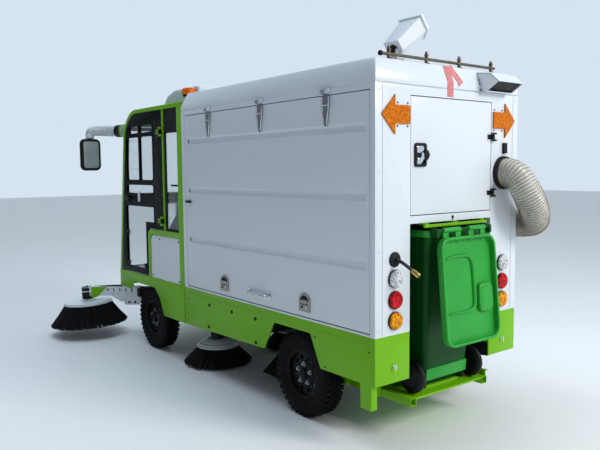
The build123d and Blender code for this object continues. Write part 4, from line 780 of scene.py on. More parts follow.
# Dark seals behind the gaps round the doors
bm = bmesh.new()
for y in (-0.391, 0.379):
    box(bm, 0.0315, 0.0365, y, y + 0.012, 1.37, 2.096)
for z in (1.37, 2.082):
    box(bm, 0.0315, 0.0365, -0.391, 0.391, z, z + 0.014)
for way, back in ((1, 0.034), (-1, 0.434)):
    for x0, x1, z0, z1 in ((back, back + 0.018, 0.694, 2.112), (2.218, 2.24, 0.694, 2.112),
                           (back, 2.24, 0.69, 0.706), (back, 2.24, 2.098, 2.114)):
        box(bm, x0, x1, way * 0.6435, way * 0.6485, z0, z1)
piece("door_seals", bm, RUBBER, bevel=0.001)

# Lamps and arrow signs
REAR_LAMPS = (("clear", 1.015, CLEAR_LENS), ("red", 0.889, RED_LENS), ("amber", 0.765, AMBER_LENS))
REAR_LAMP_Y = 0.52
ARROW = ((0.633, 1.972), (0.527, 2.082), (0.527, 2.025), (0.402, 2.025), (0.402, 1.92), (0.527, 1.92),
         (0.527, 1.861))
bezel = bmesh.new()
lamps = {colour: bmesh.new() for colour, _, _ in REAR_LAMPS}
for way in (1, -1):
    for colour, z, _ in REAR_LAMPS:
        place = (0, way * REAR_LAMP_Y, z)
        lathe(bezel, place, AFT, ((0, 0.055), (0.01, 0.055), (0.012, 0.0545), (0.012, 0.0525),
                                  (0.004, 0.0525)))
        lathe(lamps[colour], place, AFT, ((0.002, 0.0525), (0.016, 0.0525), (0.022, 0.048), (0.026, 0.03),
                                          (0.028, 0.0)), 40)
piece("rear_lamp_bezels", bezel, PLASTIC, "chassis", ("rear_lights",))
for colour, _, material in REAR_LAMPS:
    piece("rear_lamps_" + colour, lamps[colour], material)
bm = bmesh.new()
for way in (1, -1):
    plate(bm, [[(way * y, z) for y, z in ARROW]], (-0.005, 0, 0), LEFT, UP, 0.01, 0.0015)
piece("arrow_signs", bm, ORANGE)

# Suction hose: ridged wall with a wire wound round it, in two collars
HOSE_R = 0.098
HOSE_ROUTE = ((-0.016, -0.52, 1.626), (-0.095, -0.52, 1.626), (-0.165, -0.55, 1.506), (-0.165, -0.64, 1.386),
              (-0.095, -0.78, 1.291), (0.06, -0.88, 1.258), (0.262, -0.88, 1.25), (0.262, -0.696, 1.25))
HOSE_PITCH = 0.0155
HOSE_RINGS, WIRE_STEPS = 6, 36  # in one turn of the wire


def hose():
    route = smooth_path(HOSE_ROUTE, 3, 40)
    length = [0.0]
    for a, b in zip(route, route[1:]):
        length.append(length[-1] + (b - a).length)
    wall, wire = meshes(2)
    steps = 40
    side = Vector(LEFT)
    rings, turns = [], []
    walk, k = 0.0, 0
    while walk <= length[-1]:
        while k < len(length) - 2 and length[k + 1] < walk:
            k += 1
        t = (walk - length[k]) / max(1e-9, length[k + 1] - length[k])
        place = route[k].lerp(route[k + 1], t)
        ahead = (route[min(k + 2, len(route) - 1)] - route[max(k - 1, 0)]).normalized()
        side = (side - ahead * side.dot(ahead)).normalized()
        other = ahead.cross(side)
        turn = 2 * math.pi * walk / HOSE_PITCH
        rings.append([wall.verts.new(place + (HOSE_R - 0.004 + 0.0025 * math.cos(a - turn))
                                     * (side * math.cos(a) + other * math.sin(a)))
                      for a in circle(steps)])
        for part in range(WIRE_STEPS // HOSE_RINGS):
            a = turn + 2 * math.pi * part / WIRE_STEPS
            turns.append(place + ahead * (HOSE_PITCH * part / WIRE_STEPS)
                         + (HOSE_R - 0.0012) * (side * math.cos(a) + other * math.sin(a)))
        walk += HOSE_PITCH / HOSE_RINGS
    join(wall, rings)
    sweep(wire, turns, 0.0023, 6)
    piece("suction_hose_wall", wall, HOSE, "chassis", ("suction_hose",), angle=80)
    piece("suction_hose_wire", wire, WIRE, angle=80)


hose()
bm = bmesh.new()
for place, axis in (((0, -0.52, 1.626), AFT), ((0.262, -HALF, 1.25), RIGHT)):
    lathe(bm, place, axis, ((0, 0.112), (0.01, 0.112), (0.014, 0.108), (0.024, 0.107), (0.026, 0.105),
                            (0.026, 0.0985), (0.004, 0.0985), (0.004, 0.0)), 48)
lathe(bm, (0, 0.522, 1.129), AFT, ((0, 0.045), (0.006, 0.045), (0.01, 0.042), (0.013, 0.026), (0.018, 0.018),
        (0.024, 0.016), (0.024, 0.0)), 32)
piece("hose_collars", bm, RUBBER, "chassis", ("rear_collars",))

# Washer hose: a free end with a brass coupling
WASHER_ROUTE = ((-0.024, 0.522, 1.129), (-0.046, 0.522, 1.129), (-0.136, 0.505, 1.071))
curve = new_curve("washer_hose_line", [(REAR + x, y, z) for x, y, z in WASHER_ROUTE], steps=16)
curve.bevel_depth = 0.0105
curve.bevel_resolution = 5
washer = bpy.data.objects.new("washer_hose_line", curve)
scene.collection.objects.link(washer)
curve.materials.append(RIBBED)
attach(washer, "chassis")
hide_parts("washer_hose")
bm = bmesh.new()
tip = Vector(WASHER_ROUTE[-1])
along = tip - Vector(WASHER_ROUTE[-2])
lathe(bm, tip, along, ((-0.012, 0.0), (-0.012, 0.0125), (-0.002, 0.0125), (0.0, 0.015), (0.012, 0.015),
                       (0.013, 0.013), (0.017, 0.013), (0.018, 0.015), (0.04, 0.015), (0.042, 0.0135),
                       (0.042, 0.008), (0.024, 0.008), (0.024, 0.0)), 24)
coupling = piece("washer_coupling_brass", bm, BRASS, "chassis", ("washer_coupling",))

# Vent hood, and spray bar with its stubs
BAR_X, BAR_Z = 0.062, 2.322
bm = bmesh.new()
outside = ((0.0364, 2.275), (-0.07, 2.262), (-0.135, 2.206), (-0.05, 2.152), (0.0, 2.152), (0.0, 2.19))
for y in (-0.54, -0.275):
    plate(bm, [outside], (0, y + 0.0025, 0), FORE, UP, 0.005)
for (xa, za), (xb, zb) in (outside[0:2], outside[1:3], outside[3:5]):
    long = math.hypot(xb - xa, zb - za)
    plate(bm, [[(0, -0.54), (long, -0.54), (long, -0.27), (0, -0.27)]], (xa, 0, za - 0.002),
          (xb - xa, 0, zb - za), LEFT, 0.004)
box(bm, -0.004, 0, -0.552, -0.258, 2.15, 2.168)
for y in (-0.552, -0.27):
    box(bm, -0.004, 0, y, y + 0.012, 2.152, 2.19)
piece("vent_hood", bm, WHITE, "chassis", ("roof_fittings",), bevel=0.0012)
bm = bmesh.new()
plate(bm, [[(-0.016, 2.25), (-0.066, 2.246), (-0.118, 2.202), (-0.05, 2.16), (-0.016, 2.16)]], (0, -0.405, 0),
      FORE, UP, 0.25)
for y in (-0.535, -0.45, -0.36, -0.275):
    dome(bm, (-0.004, y, 2.158), AFT, 0.005, 0.004)
for z in (2.175, 2.2, 2.225):
    dome(bm, (max(0.0, (z - 2.19) * 0.43) - 0.001, -0.262, z), (-1, 0, 0.3), 0.004, 0.003)
lathe(bm, (BAR_X, 0.572, BAR_Z), LEFT, ((0, 0.0), (0, 0.015), (0.012, 0.015), (0.014, 0.012), (0.014, 0.0)),
      24)
piece("hood_dark_parts", bm, PLASTIC)
bm = bmesh.new()
rod(bm, (BAR_X, -0.49, BAR_Z), (BAR_X, 0.578, BAR_Z), 0.0095)
for y in (0.51, 0.185, -0.125, -0.455):
    lathe(bm, (BAR_X, y, 2.294), UP, ((0, 0.0), (0, 0.02), (0.004, 0.02), (0.006, 0.011), (0.044, 0.011),
                                      (0.046, 0.013), (0.058, 0.013), (0.06, 0.009), (0.073, 0.008),
                                      (0.073, 0.0)), 20)
piece("spray_bar", bm, BAR)

# Bin: body with a rim and a pale band, lid with a rolled edge, wheels on their axle
softened("bin_body", BIN, 0.006, segments=3)
BIN_SLOPE = 0.075 / 1.012


def bin_rear(z):
    """Rear wall of the bin at a height."""
    return -0.03 + BIN_SLOPE * (1.28 - z)


bm = bmesh.new()
plate(bm, [rounded(-0.0435, 0.6135, -0.2785, 0.2785, 0.041, 8),
           rounded(-0.0225, 0.5925, -0.2575, 0.2575, 0.033, 8)], (0, 0, 1.262), FORE, LEFT, 0.04, 0.006)
piece("bin_rim", bm, BIN_LID)
bm = bmesh.new()
box(bm, bin_rear(0.36) - 0.005, bin_rear(0.36) + 0.01, -0.196, 0.196, 0.322, 0.398,
    Matrix.Rotation(-math.atan(BIN_SLOPE), 4, "Y"))
piece("bin_band", bm, BIN_LID, bevel=0.004)

LEAN = math.radians(5.4)
LID_AXIS = Vector((-0.09, 0, 1.285))
LID_DOWN = Vector((-math.sin(LEAN), 0, -math.cos(LEAN)))
LID_OUT = Vector((-math.cos(LEAN), 0, math.sin(LEAN)))
LID_HALF = span("bin_lid", Y)[1]
LID_TOP, LID_END = 0.048, 0.705


def lid_plate(bm, loops, out, depth, bevel=0.0):
    plate(bm, loops, LID_AXIS + LID_OUT * out, LEFT, LID_DOWN, depth, bevel)


def lid_outline(inset, steps=10):
    return rounded(-LID_HALF + inset, LID_HALF - inset, LID_TOP + inset, LID_END - inset, 0.075 - inset,
                   steps)


bm = bmesh.new()
lid_plate(bm, [lid_outline(0.003, 8)], -0.0025, 0.007)
lid_plate(bm, [lid_outline(0.0), lid_outline(0.01)], 0.015, 0.042, 0.0035)
lid_plate(bm, [lid_outline(0.009), lid_outline(0.017)], 0.003, 0.008, 0.003)
path = smooth_path([LID_AXIS + LID_DOWN * b + LID_OUT * 0.0035 + Vector((0, a, 0))
                    for a, b in ((0.188, 0.176), (0.15, 0.166), (0.04, 0.164), (-0.02, 0.168),
                                 (-0.052, 0.205), (-0.056, 0.3), (-0.056, 0.44), (-0.05, 0.49),
                                 (-0.015, 0.512), (0.06, 0.514), (0.188, 0.51))])
sweep(bm, path, [0.005 + 0.01 * math.sin(math.pi * (k + 0.5) / len(path)) ** 0.7 for k in range(len(path))],
      12)
lid_plate(bm, [rounded(-0.205, -0.088, 0.36, 0.52, 0.03, 8)], 0.013, 0.03, 0.01)
lid_plate(bm, [rounded(-0.192, -0.101, 0.373, 0.507, 0.02, 8)], 0.0285, 0.003, 0.001)
for y in (-0.12, 0.12):
    lathe(bm, LID_AXIS + Vector((0, y - 0.08, 0)), LEFT, ((0, 0.0085), (0, 0.0135), (0.003, 0.0155),
            (0.157, 0.0155), (0.16, 0.0135), (0.16, 0.0085)), 24)
    for leg in (y - 0.058, y + 0.058):
        lid_plate(bm, [rounded(leg - 0.022, leg + 0.022, 0.004, 0.085, 0.006)], -0.001, 0.012, 0.003)
piece("bin_lid_shell", bm, BIN_LID, "bin_lid_body", ("bin_lid",))

bm = bmesh.new()
AXLE_X, AXLE_Z = midway("bin_wheels", X, REAR), midway("bin_wheels", Z)
for way in (1, -1):
    lathe(bm, (AXLE_X, way * 0.261, AXLE_Z), (0, way, 0), ((0.01, 0.0), (0.01, 0.026), (0.005, 0.03),
            (0.007, 0.066), (0.0, 0.074), (0.003, 0.094), (0.008, 0.102), (0.014, 0.105), (0.028, 0.105),
            (0.034, 0.102), (0.039, 0.094), (0.042, 0.074), (0.035, 0.066), (0.037, 0.03), (0.042, 0.026),
            (0.042, 0.012), (0.038, 0.0)), 48)
    for t in circle(8):
        x, z = AXLE_X + 0.048 * math.cos(t), AXLE_Z + 0.048 * math.sin(t)
        box(bm, x - 0.004, x + 0.004, way * 0.266, way * 0.299, z - 0.02, z + 0.02,
            Matrix.Rotation(math.pi / 2 - t, 4, "Y"))
rod(bm, (AXLE_X, -0.268, AXLE_Z), (AXLE_X, 0.268, AXLE_Z), 0.01)
piece("bin_wheel_set", bm, PLASTIC, "bin_wheels_body", ("bin_wheels",))

# Lime seal bar over the bin, red strap on the lid's rear, and small fittings of the body
bm = bmesh.new()
box(bm, -0.038, -0.022, -0.3, 0.3, 1.303, 1.321)
for y in (-0.27, 0.0, 0.27):
    box(bm, -0.03, 0.044, y - 0.012, y + 0.012, 1.318, 1.33)
piece("seal_bar", bm, LIME, bevel=0.003)


LID_FOLD, LID_RISE = 2.19, 0.4286  # height where the roof lid's rear starts to lean, and its lean


def lid_slope(z):
    """Rear face of the roof lid at a height."""
    return max(0.0, LID_RISE * (z - LID_FOLD))


bm = bmesh.new()
for spots in (((0.03, 2.291), (0.032, 2.19), (0.033, 2.1)), ((0.0, 2.289), (-0.071, 2.186))):
    for (ya, za), (yb, zb) in zip(spots, spots[1:]):
        ahead = Vector((lid_slope(zb) - lid_slope(za), yb - ya, zb - za))
        normal = Vector((-1, 0, LID_RISE if za > LID_FOLD else 0.0)).normalized()
        across = normal.cross(ahead.normalized())
        middle = Vector(((lid_slope(za) + lid_slope(zb)) / 2, (ya + yb) / 2, (za + zb) / 2))
        reach = ahead.length / 2 + 0.002
        plate(bm, [[(-reach, -0.028), (reach, -0.028), (reach, 0.028), (-reach, 0.028)]],
              middle + normal * 0.0008, ahead, across, 0.003)
piece("lid_strap", bm, RED, bevel=0.0006)
bm = bmesh.new()
for x, z in ((1.882, 0.584), (1.546, 0.584), (1.227, 0.586), (1.896, 0.404), (1.225, 0.412)):
    dome(bm, (x, HALF, z), LEFT, 0.013, 0.009)
for x, z in ((0.05, 0.591), (0.55, 0.588), (0.45, 0.411), (2.23, 0.584), (2.23, 0.404)):
    dome(bm, (x, HALF, z), LEFT, 0.006, 0.005)
box(bm, 0.046, 2.225, HALF - 0.01, HALF + 0.0004, 0.6955, 0.6995)
mirrored(bm)
piece("skirt_bolts", bm, PLASTIC)
bm = bmesh.new()
box(bm, 0.002, 2.288, HALF - 0.002, HALF + 0.0022, 0.632, 0.6365)
box(bm, 0.002, 2.288, HALF - 0.002, HALF + 0.0012, 0.6365, 0.679)
mirrored(bm)
piece("skirt_strips", bm, LIME, bevel=0.0008)
bm = bmesh.new()
for y in (0.528, -0.528):
    screw(bm, (0, y, 0.487), AFT, 0.0075, 0.007)
    rod(bm, (0.002, y, 0.487), (-0.024, y, 0.487), 0.0065, seg=16)
    rod(bm, (-0.018, y, 0.467), (-0.018, y, 0.507), 0.0048, seg=12)
    rod(bm, (-0.011, y - 0.015, 0.487), (-0.011, y + 0.015, 0.487), 0.0048, seg=12)
piece("skirt_pins", bm, CHROME, bevel=0.0008)
FORK_OUT, FORK_TOP = 0.375, 0.255
bm = bmesh.new()
box(bm, 0.006, 0.06, -FORK_OUT + 0.004, -FORK_OUT + 0.009, FORK_TOP - 0.001, FORK_TOP + 0.034)
box(bm, 0.006, 0.06, -FORK_OUT - 0.022, -FORK_OUT + 0.009, FORK_TOP + 0.03, FORK_TOP + 0.035)
piece("platform_catch", bm, LIME, bevel=0.0012)
bm = bmesh.new()
rod(bm, (2.14, HALF + 0.01, 1.404), (2.205, HALF + 0.01, 1.404), 0.011, seg=20)
rod(bm, (2.205, HALF + 0.01, 1.404), (2.222, HALF + 0.01, 1.404), 0.007, seg=16)
box(bm, 2.15, 2.17, HALF - 0.002, HALF + 0.01, 1.396, 1.412)
piece("door_bolt", bm, PLASTIC, "side_door_left_body", bevel=0.001)
bm = bmesh.new()
for y in (0.622, -0.622):
    box(bm, -0.0014, 0.002, y - 0.0012, y + 0.0012, 0.69, 2.14)
    for z in (0.72, 1.18, 1.64, 2.11):
        dome(bm, (0, y + math.copysign(0.03, y), z), AFT, 0.005, 0.003)
box(bm, -0.0014, 0.002, -0.66, 0.66, 2.1445, 2.1475)
piece("rear_fold_lines", bm, STEEL)

# Horn, beacon and the unit on the cab's roof
softened("roof_horn", SHELL, 0.006, segments=3)
lift = math.radians(38.0)
HORN_AXIS = Vector((0, -math.cos(lift), math.sin(lift)))
HORN_BACK = Vector((0.13, 0.395, 2.37))
bm = bmesh.new()
lathe(bm, HORN_BACK, -HORN_AXIS, ((0.0, 0.03), (0.006, 0.03), (0.009, 0.026), (0.009, 0.016), (0.026, 0.015),
                                  (0.03, 0.012), (0.03, 0.0)), 24)
path = smooth_path([HORN_BACK - HORN_AXIS * 0.028, HORN_BACK - HORN_AXIS * 0.06, (0.13, 0.452, 2.32),
                    (0.13, 0.452, 2.296)], 3, 12)
sweep(bm, path, 0.005, 10)
piece("horn_plug", bm, PLASTIC)
BEACON = Vector((midway("beacon", X, REAR), midway("beacon", Y), span("beacon", Z)[0]))
stalk, dome_lens = meshes(2)
lathe(stalk, BEACON, UP, ((0, 0.0), (0, 0.034), (0.006, 0.034), (0.01, 0.018), (0.04, 0.016), (0.058, 0.02),
                          (0.064, 0.052), (0.08, 0.056), (0.083, 0.05), (0.083, 0.0)), 32)
piece("beacon_stalk", stalk, PLASTIC, "chassis", ("beacon",))
lathe(dome_lens, BEACON, UP, ((0.08, 0.054), (0.084, 0.058), (0.126, 0.057), (0.134, 0.052), (0.138, 0.04),
                              (0.14, 0.0)), 40)
for t in circle(20):
    ray = Vector((math.cos(t), math.sin(t), 0))
    rod(dome_lens, BEACON + ray * 0.0575 + Vector((0, 0, 0.086)),
        BEACON + ray * 0.0565 + Vector((0, 0, 0.126)), 0.0035, seg=8)
piece("beacon_lens", dome_lens, BEACON_LENS)
softened("roof_unit", UNIT, 0.034, segments=5)
bm = bmesh.new()
for k in range(7):
    z = 2.262 + 0.016 * k
    for way in (1, -1):
        box(bm, 2.5, 2.69, way * 0.4185, way * 0.4212, z, z + 0.007)
for k in range(9):
    y = -0.2 + 0.05 * k
    box(bm, 2.4485, 2.452, y - 0.018, y + 0.018, 2.27, 2.345)
for x in (2.52, 2.68, 2.84):
    for way in (1, -1):
        dome(bm, (x, way * 0.42, 2.248), (0, way, 0), 0.006, 0.004)
piece("roof_unit_vents", bm, PLASTIC, bevel=0.001)

# Cab: white arch panels with their screws, window gaskets, door fittings
CAB_BACK = span("cab_base", X, REAR)[0]
CAB_HINGES = (2.0, 1.215)
CAB_HINGE_X, CAB_HINGE_Y = 2.665, 0.693
LOCK_X, LOCK_Z = 3.405, 1.404
SEAL_Y = 0.6755
PANE_EDGES = ((0.55, 0.832, 1.575, 1.975), (0.842, 1.13, 1.575, 1.975), (0.55, 0.832, 2.01, 2.075),
              (0.842, 1.06, 2.01, 2.075), (0.55, 1.14, 1.45, 1.53))
PANE_FRONT, PANE_TOP = 1.17, 1.33  # stepped pane at the door's foot
FOOT_REAR, FOOT_LOW = 0.722, 0.74  # its narrow part
STEP_REAR, STEP_LOW = 0.55, 1.187  # its wide part


def low_pane(grow):
    """Outline of the stepped pane, drawn out by this much."""
    front, top = CAB_BACK + (PANE_FRONT + grow), PANE_TOP + grow
    foot, foot_low = CAB_BACK + (FOOT_REAR - grow), FOOT_LOW - grow
    step, step_low = CAB_BACK + (STEP_REAR - grow), STEP_LOW - grow
    return [(foot, foot_low), (front, foot_low), (front, top), (step, top), (step, step_low),
            (foot, step_low)]


bm, screws, seal = meshes(3)
back, front, low, top, r = 2.382, 2.938, 0.682, 1.073, 0.055
corner = arc(front - r, top - r, r, r, 6, math.pi / 2)
outline = [(back, low), (front, low)] + corner + [(back, top)]
plate(bm, [outline], (0, 0.669, 0), FORE, UP, 0.003, 0.001)
for x, z in ((2.764, 1.045), (2.402, 1.047), (2.909, 0.706), (2.402, 0.704)):
    dome(screws, (x, 0.6705, z), LEFT, 0.008, 0.005)
mirrored(bm)
piece("arch_panels", bm, WHITE)
plate(seal, [rounded(2.381, 2.636, 1.128, 2.194, 0.006), rounded(2.392, 2.598, 1.15, 1.985, 0.012)],
      (0, 0.664, 0), FORE, UP, 0.005, 0.001)
box(seal, 2.395, 2.51, 0.6655, 0.6745, 1.524, 1.54)
for x in (2.405, 2.5):
    rod(seal, (x, 0.664, 1.532), (x, 0.672, 1.532), 0.007)
for mesh in (seal, screws):
    mirrored(mesh)
piece("quarter_window_seals", seal, RUBBER, bevel=0.001)
piece("arch_panel_screws", screws, PLASTIC)
bm = bmesh.new()
box(bm, 2.382, 2.62, 0.6, 0.64, 1.118, 1.165)
plate(bm, [[(2.385, 1.165), (2.62, 1.165), (2.6, 1.185), (2.48, 1.29), (2.4, 1.43), (2.385, 1.43)]],
      (0, 0.628, 0), FORE, UP, 0.01, 0.002)
mirrored(bm)
piece("quarter_trim", bm, PLASTIC, bevel=0.002)


def cab_door(way, node):
    body = node + "_body"
    softened(node, BLACK, 0.004)
    seal, knobs, lime, pale = meshes(4)
    for a0, a1, z0, z1 in PANE_EDGES:
        x0, x1 = CAB_BACK + a0, CAB_BACK + a1
        plate(seal, [rounded(x0 - 0.0045, x1 + 0.0045, z0 - 0.0045, z1 + 0.0045, 0.027),
                     rounded(x0 + 0.001, x1 - 0.001, z0 + 0.001, z1 - 0.001, 0.023)], (0, way * SEAL_Y, 0),
              FORE, UP, 0.005, 0.001)
    plate(seal, [low_pane(0.005), low_pane(-0.001)], (0, way * SEAL_Y, 0), FORE, UP, 0.005, 0.001)
    for x, z in ((3.44, 0.775), (3.06, 0.775), (3.44, 1.075)):
        lathe(knobs, (x, way * 0.664, z), (0, way, 0), ((0, 0.0), (0, 0.02), (0.012, 0.02), (0.018, 0.016),
                (0.019, 0.0)), 20)
        box(knobs, x - 0.014, x + 0.014, way * 0.66, way * 0.672, z - 0.034, z + 0.004)
    box(knobs, 3.38, 3.45, way * 0.675, way * 0.69, 1.372, 1.428)
    lathe(knobs, (LOCK_X, way * 0.69, LOCK_Z), (0, way, 0),
          ((0, 0.024), (0.004, 0.024), (0.006, 0.02), (0.006, 0.0)), 24)
    sweep(knobs, smooth_path([(LOCK_X, way * 0.69, LOCK_Z), (LOCK_X, way * 0.704, LOCK_Z),
                              (3.35, way * 0.706, 1.4), (3.3, way * 0.706, 1.398)], 3, 8), 0.008, 12)
    lathe(pale, (3.152, way * SEAL_Y, 1.372), UP, ((0, 0.0), (0, 0.008), (0.006, 0.014), (0.03, 0.016),
            (0.064, 0.016), (0.088, 0.013), (0.094, 0.008), (0.095, 0.0)), 20)
    for z in CAB_HINGES:
        box(lime, 2.68, 2.737, way * 0.6935, way * 0.6955, z - 0.019, z + 0.019)
        for dx in (2.695, 2.722):
            dome(knobs, (dx, way * 0.6955, z), (0, way, 0), 0.006, 0.004)
        for end in (-1, 1):
            lathe(knobs, (CAB_HINGE_X, way * CAB_HINGE_Y, z + end * 0.008), (0, 0, end),
                  ((0, 0.0), (0, 0.0115), (0.01, 0.0115), (0.0118, 0.0095), (0.0118, 0.0)), 20)
    piece(node + "_gaskets", seal, RUBBER, body)
    piece(node + "_knobs", knobs, PLASTIC, body, bevel=0.0015)
    piece(node + "_hinge_leaves", lime, LIME, body, bevel=0.0008)
    piece(node + "_pull", pale, SHELL, body)


cab_door(1, "cab_door_left")
cab_door(-1, "cab_door_right")
bm = bmesh.new()
for z in CAB_HINGES:
    for low in (z + 0.022, z - 0.04):
        rod(bm, (CAB_HINGE_X, CAB_HINGE_Y, low + 0.0185), (CAB_HINGE_X, CAB_HINGE_Y, low + 0.0215), 0.008,
            seg=16)
mirrored(bm)
piece("cab_hinge_caps", bm, PLASTIC)

# Mirrors: thick pale arms on lime mounts, dark shells and the glass facing back
arm, shell, edge, face = meshes(4)
MIRROR = (3.82, 0.88, 1.824)
ARM_POINTS = ((3.48, 0.657, 2.05), (3.6, 0.7, 2.052), (3.72, 0.79, 2.058), (3.812, 0.87, 2.06),
              (3.822, 0.88, 2.02), (3.82, 0.88, 1.985))
route = smooth_path(ARM_POINTS, 3, 14)
sweep(arm, route, [0.056 - 0.016 * k / (len(route) - 1) for k in range(len(route))], 24)
ROOT, ROOT_AXIS = (3.5, 0.6646, 2.051), (0.943, 0.334, 0)
lathe(shell, ROOT, ROOT_AXIS, ((0.0, 0.0), (0.0, 0.06), (0.075, 0.06), (0.082, 0.054), (0.082, 0.0)), 28)
lathe(edge, ROOT, ROOT_AXIS, ((-0.014, 0.0), (-0.014, 0.062), (0.002, 0.062), (0.002, 0.0)), 28)
rod(shell, (3.82, 0.88, 1.952), (3.82, 0.88, 1.992), 0.022, 0.028)
plate(shell, [rounded_at(*MIRROR[1:], 0.088, 0.143, 0.036)], (MIRROR[0] + 0.004, 0, 0), LEFT, UP, 0.048,
      0.014)
plate(shell, [rounded_at(*MIRROR[1:], 0.089, 0.144, 0.037), rounded_at(*MIRROR[1:], 0.078, 0.133, 0.028)],
      (MIRROR[0] - 0.022, 0, 0), LEFT, UP, 0.008, 0.002)
plate(edge, [rounded(MIRROR[0] - 0.016, MIRROR[0] + 0.02, MIRROR[2] - 0.104, MIRROR[2] + 0.104, 0.012)],
      (0, MIRROR[1] - 0.0885, 0), FORE, UP, 0.003, 0.001)
plate(face, [rounded_at(*MIRROR[1:], 0.079, 0.134, 0.029)], (MIRROR[0] - 0.0215, 0, 0), LEFT, UP, 0.004)
for mesh in (arm, shell, edge, face):
    mirrored(mesh)
piece("mirror_arms", arm, FILM, "chassis", ("mirrors",))
piece("mirror_shells", shell, PLASTIC)
piece("mirror_edges", edge, LIME)
piece("mirror_faces", face, MIRROR_GLASS)

# Front: lamps in bezels, grille slots, wiper and windscreen seal
FRONT_LAMP_Y, FRONT_LAMP_Z = 0.48, 0.5852
bm, lamp, dark = meshes(3)
for way in (1, -1):
    plate(dark, [rounded_at(way * FRONT_LAMP_Y, FRONT_LAMP_Z, 0.08, 0.045, 0.02),
                 rounded_at(way * FRONT_LAMP_Y, FRONT_LAMP_Z, 0.07, 0.035, 0.014)], (3.708, 0, 0), LEFT, UP,
          0.016, 0.003)
    plate(lamp, [rounded_at(way * FRONT_LAMP_Y, FRONT_LAMP_Z, 0.071, 0.036, 0.014)], (3.706, 0, 0), LEFT, UP,
          0.013, 0.004)
    for y in (0.452, 0.508):
        lathe(bm, (3.7105, way * y, 0.585), FORE, ((0, 0.024), (0.002, 0.024), (0.0032, 0.018),
                (0.0038, 0.0)), 24)
for k in range(5):
    z = 0.548 + 0.018 * k
    box(dark, 3.698, 3.702, -0.3, 0.3, z, z + 0.008)
piece("front_lamp_frames", dark, PLASTIC, "chassis", ("front_lamps",))
piece("front_lamp_lenses", lamp, CLEAR_LENS)
piece("front_lamp_bowls", bm, CHROME)
SCREEN_X, SCREEN_Z, SCREEN_LEAN = 3.65, 0.667, 0.1247  # foot of the windscreen's frame and its lean
SCREEN_INSET = 0.008


def screen(z, out=0.0):
    """Windscreen's outer face at a height, moved out by this much."""
    return SCREEN_X - SCREEN_LEAN * (z - SCREEN_Z) - SCREEN_INSET + out


bm = bmesh.new()
rod(bm, (screen(0.76) - 0.004, 0.08, 0.76), (screen(0.76, 0.018), 0.08, 0.76), 0.018)
sweep(bm, [(screen(0.76, 0.014), 0.08, 0.76), (screen(1.0, 0.02), 0.03, 1.0),
           (screen(1.26, 0.012), -0.02, 1.26)], [0.008, 0.007, 0.005], 10)
sweep(bm, [(screen(0.93, 0.007), -0.05, 0.93), (screen(1.26, 0.008), -0.02, 1.26),
           (screen(1.59, 0.007), 0.01, 1.59)], 0.006, 8)
piece("wiper", bm, PLASTIC)
bm = bmesh.new()
for y0, y1, z0, z1 in ((-0.638, 0.638, 0.684, 0.706), (-0.638, 0.638, 2.05, 2.088),
                       (-0.638, -0.614, 0.69, 2.08), (0.614, 0.638, 0.69, 2.08)):
    corners = [(screen(z, 0.002), y, z) for y, z in ((y0, z0), (y1, z0), (y1, z1), (y0, z1))]
    ring_a = [bm.verts.new(c) for c in corners]
    ring_b = [bm.verts.new((c[0] - 0.006, c[1], c[2])) for c in corners]
    bm.faces.new(ring_a)
    bm.faces.new(ring_b[::-1])
    for k in range(4):
        bm.faces.new((ring_a[k], ring_b[k], ring_b[(k + 1) % 4], ring_a[(k + 1) % 4]))
piece("windscreen_seal", bm, RUBBER)

# Cab inside: dashboard with its screen and switches, steering wheel, seat, pedals
softened("dashboard", PLASTIC, 0.012, segments=3)
softened("seat_base", PLASTIC, 0.006)
bm, pale = meshes(2)
plate(bm, [rounded(-0.33, -0.15, 1.38, 1.48, 0.012)], (3.362, 0, 0), LEFT, UP, 0.02, 0.004)
for k in range(6):
    box(pale, 3.366, 3.372, 0.2 + 0.045 * k, 0.228 + 0.045 * k, 1.372, 1.4)
plate(pale, [rounded(-0.318, -0.162, 1.392, 1.468, 0.006)], (3.3512, 0, 0), LEFT, UP, 0.0015)
for y in (-0.52, -0.42, 0.42, 0.52):
    lathe(bm, (3.37, y, 1.385), AFT, ((0, 0.04), (0.008, 0.04), (0.011, 0.036), (0.011, 0.0)), 28)
for y in (-0.11, 0.11):
    box(bm, 3.215, 3.3, y - 0.032, y + 0.032, 0.66, 0.672, Matrix.Rotation(math.radians(-40), 4, "Y"))
    rod(bm, (3.26, y, 0.668), (3.345, y, 0.74), 0.01)
box(bm, 2.56, 3.3, -0.585, 0.585, 0.641, 0.648)
sweep(bm, smooth_path([(2.76, -0.33, 0.645), (2.76, -0.33, 0.86), (2.79, -0.33, 0.96)], 3, 10), 0.012, 12)
lathe(bm, (2.79, -0.33, 0.95), (0.1, 0, 1), ((0, 0.01), (0.01, 0.022), (0.035, 0.026), (0.055, 0.018),
        (0.06, 0.0)), 20)
piece("cab_controls", bm, PLASTIC, bevel=0.002)
piece("cab_switches", pale, SHELL, bevel=0.001)
rise = math.radians(35.0)
COLUMN_UP = Vector((-math.cos(rise), 0, math.sin(rise)))
WHEEL_AT = Vector((3.42, 0, 1.37)) + COLUMN_UP * 0.2303
across = Vector(LEFT)
upward = COLUMN_UP.cross(across)
bm = bmesh.new()
ring_at = WHEEL_AT + COLUMN_UP * 0.04
turns = [2 * math.pi * k / 60 for k in range(61)]
loop = [ring_at + 0.18 * (across * math.cos(t) + upward * math.sin(t)) for t in turns]
grips = [0.0138 + 0.0008 * math.sin(2 * math.pi * k / 5) for k in range(61)]
sweep(bm, loop, grips, 14, caps=False)
lathe(bm, WHEEL_AT, COLUMN_UP, ((0.0, 0.0), (0.0, 0.03), (0.006, 0.034), (0.034, 0.046), (0.042, 0.044),
                                (0.046, 0.036), (0.047, 0.0)), 30)
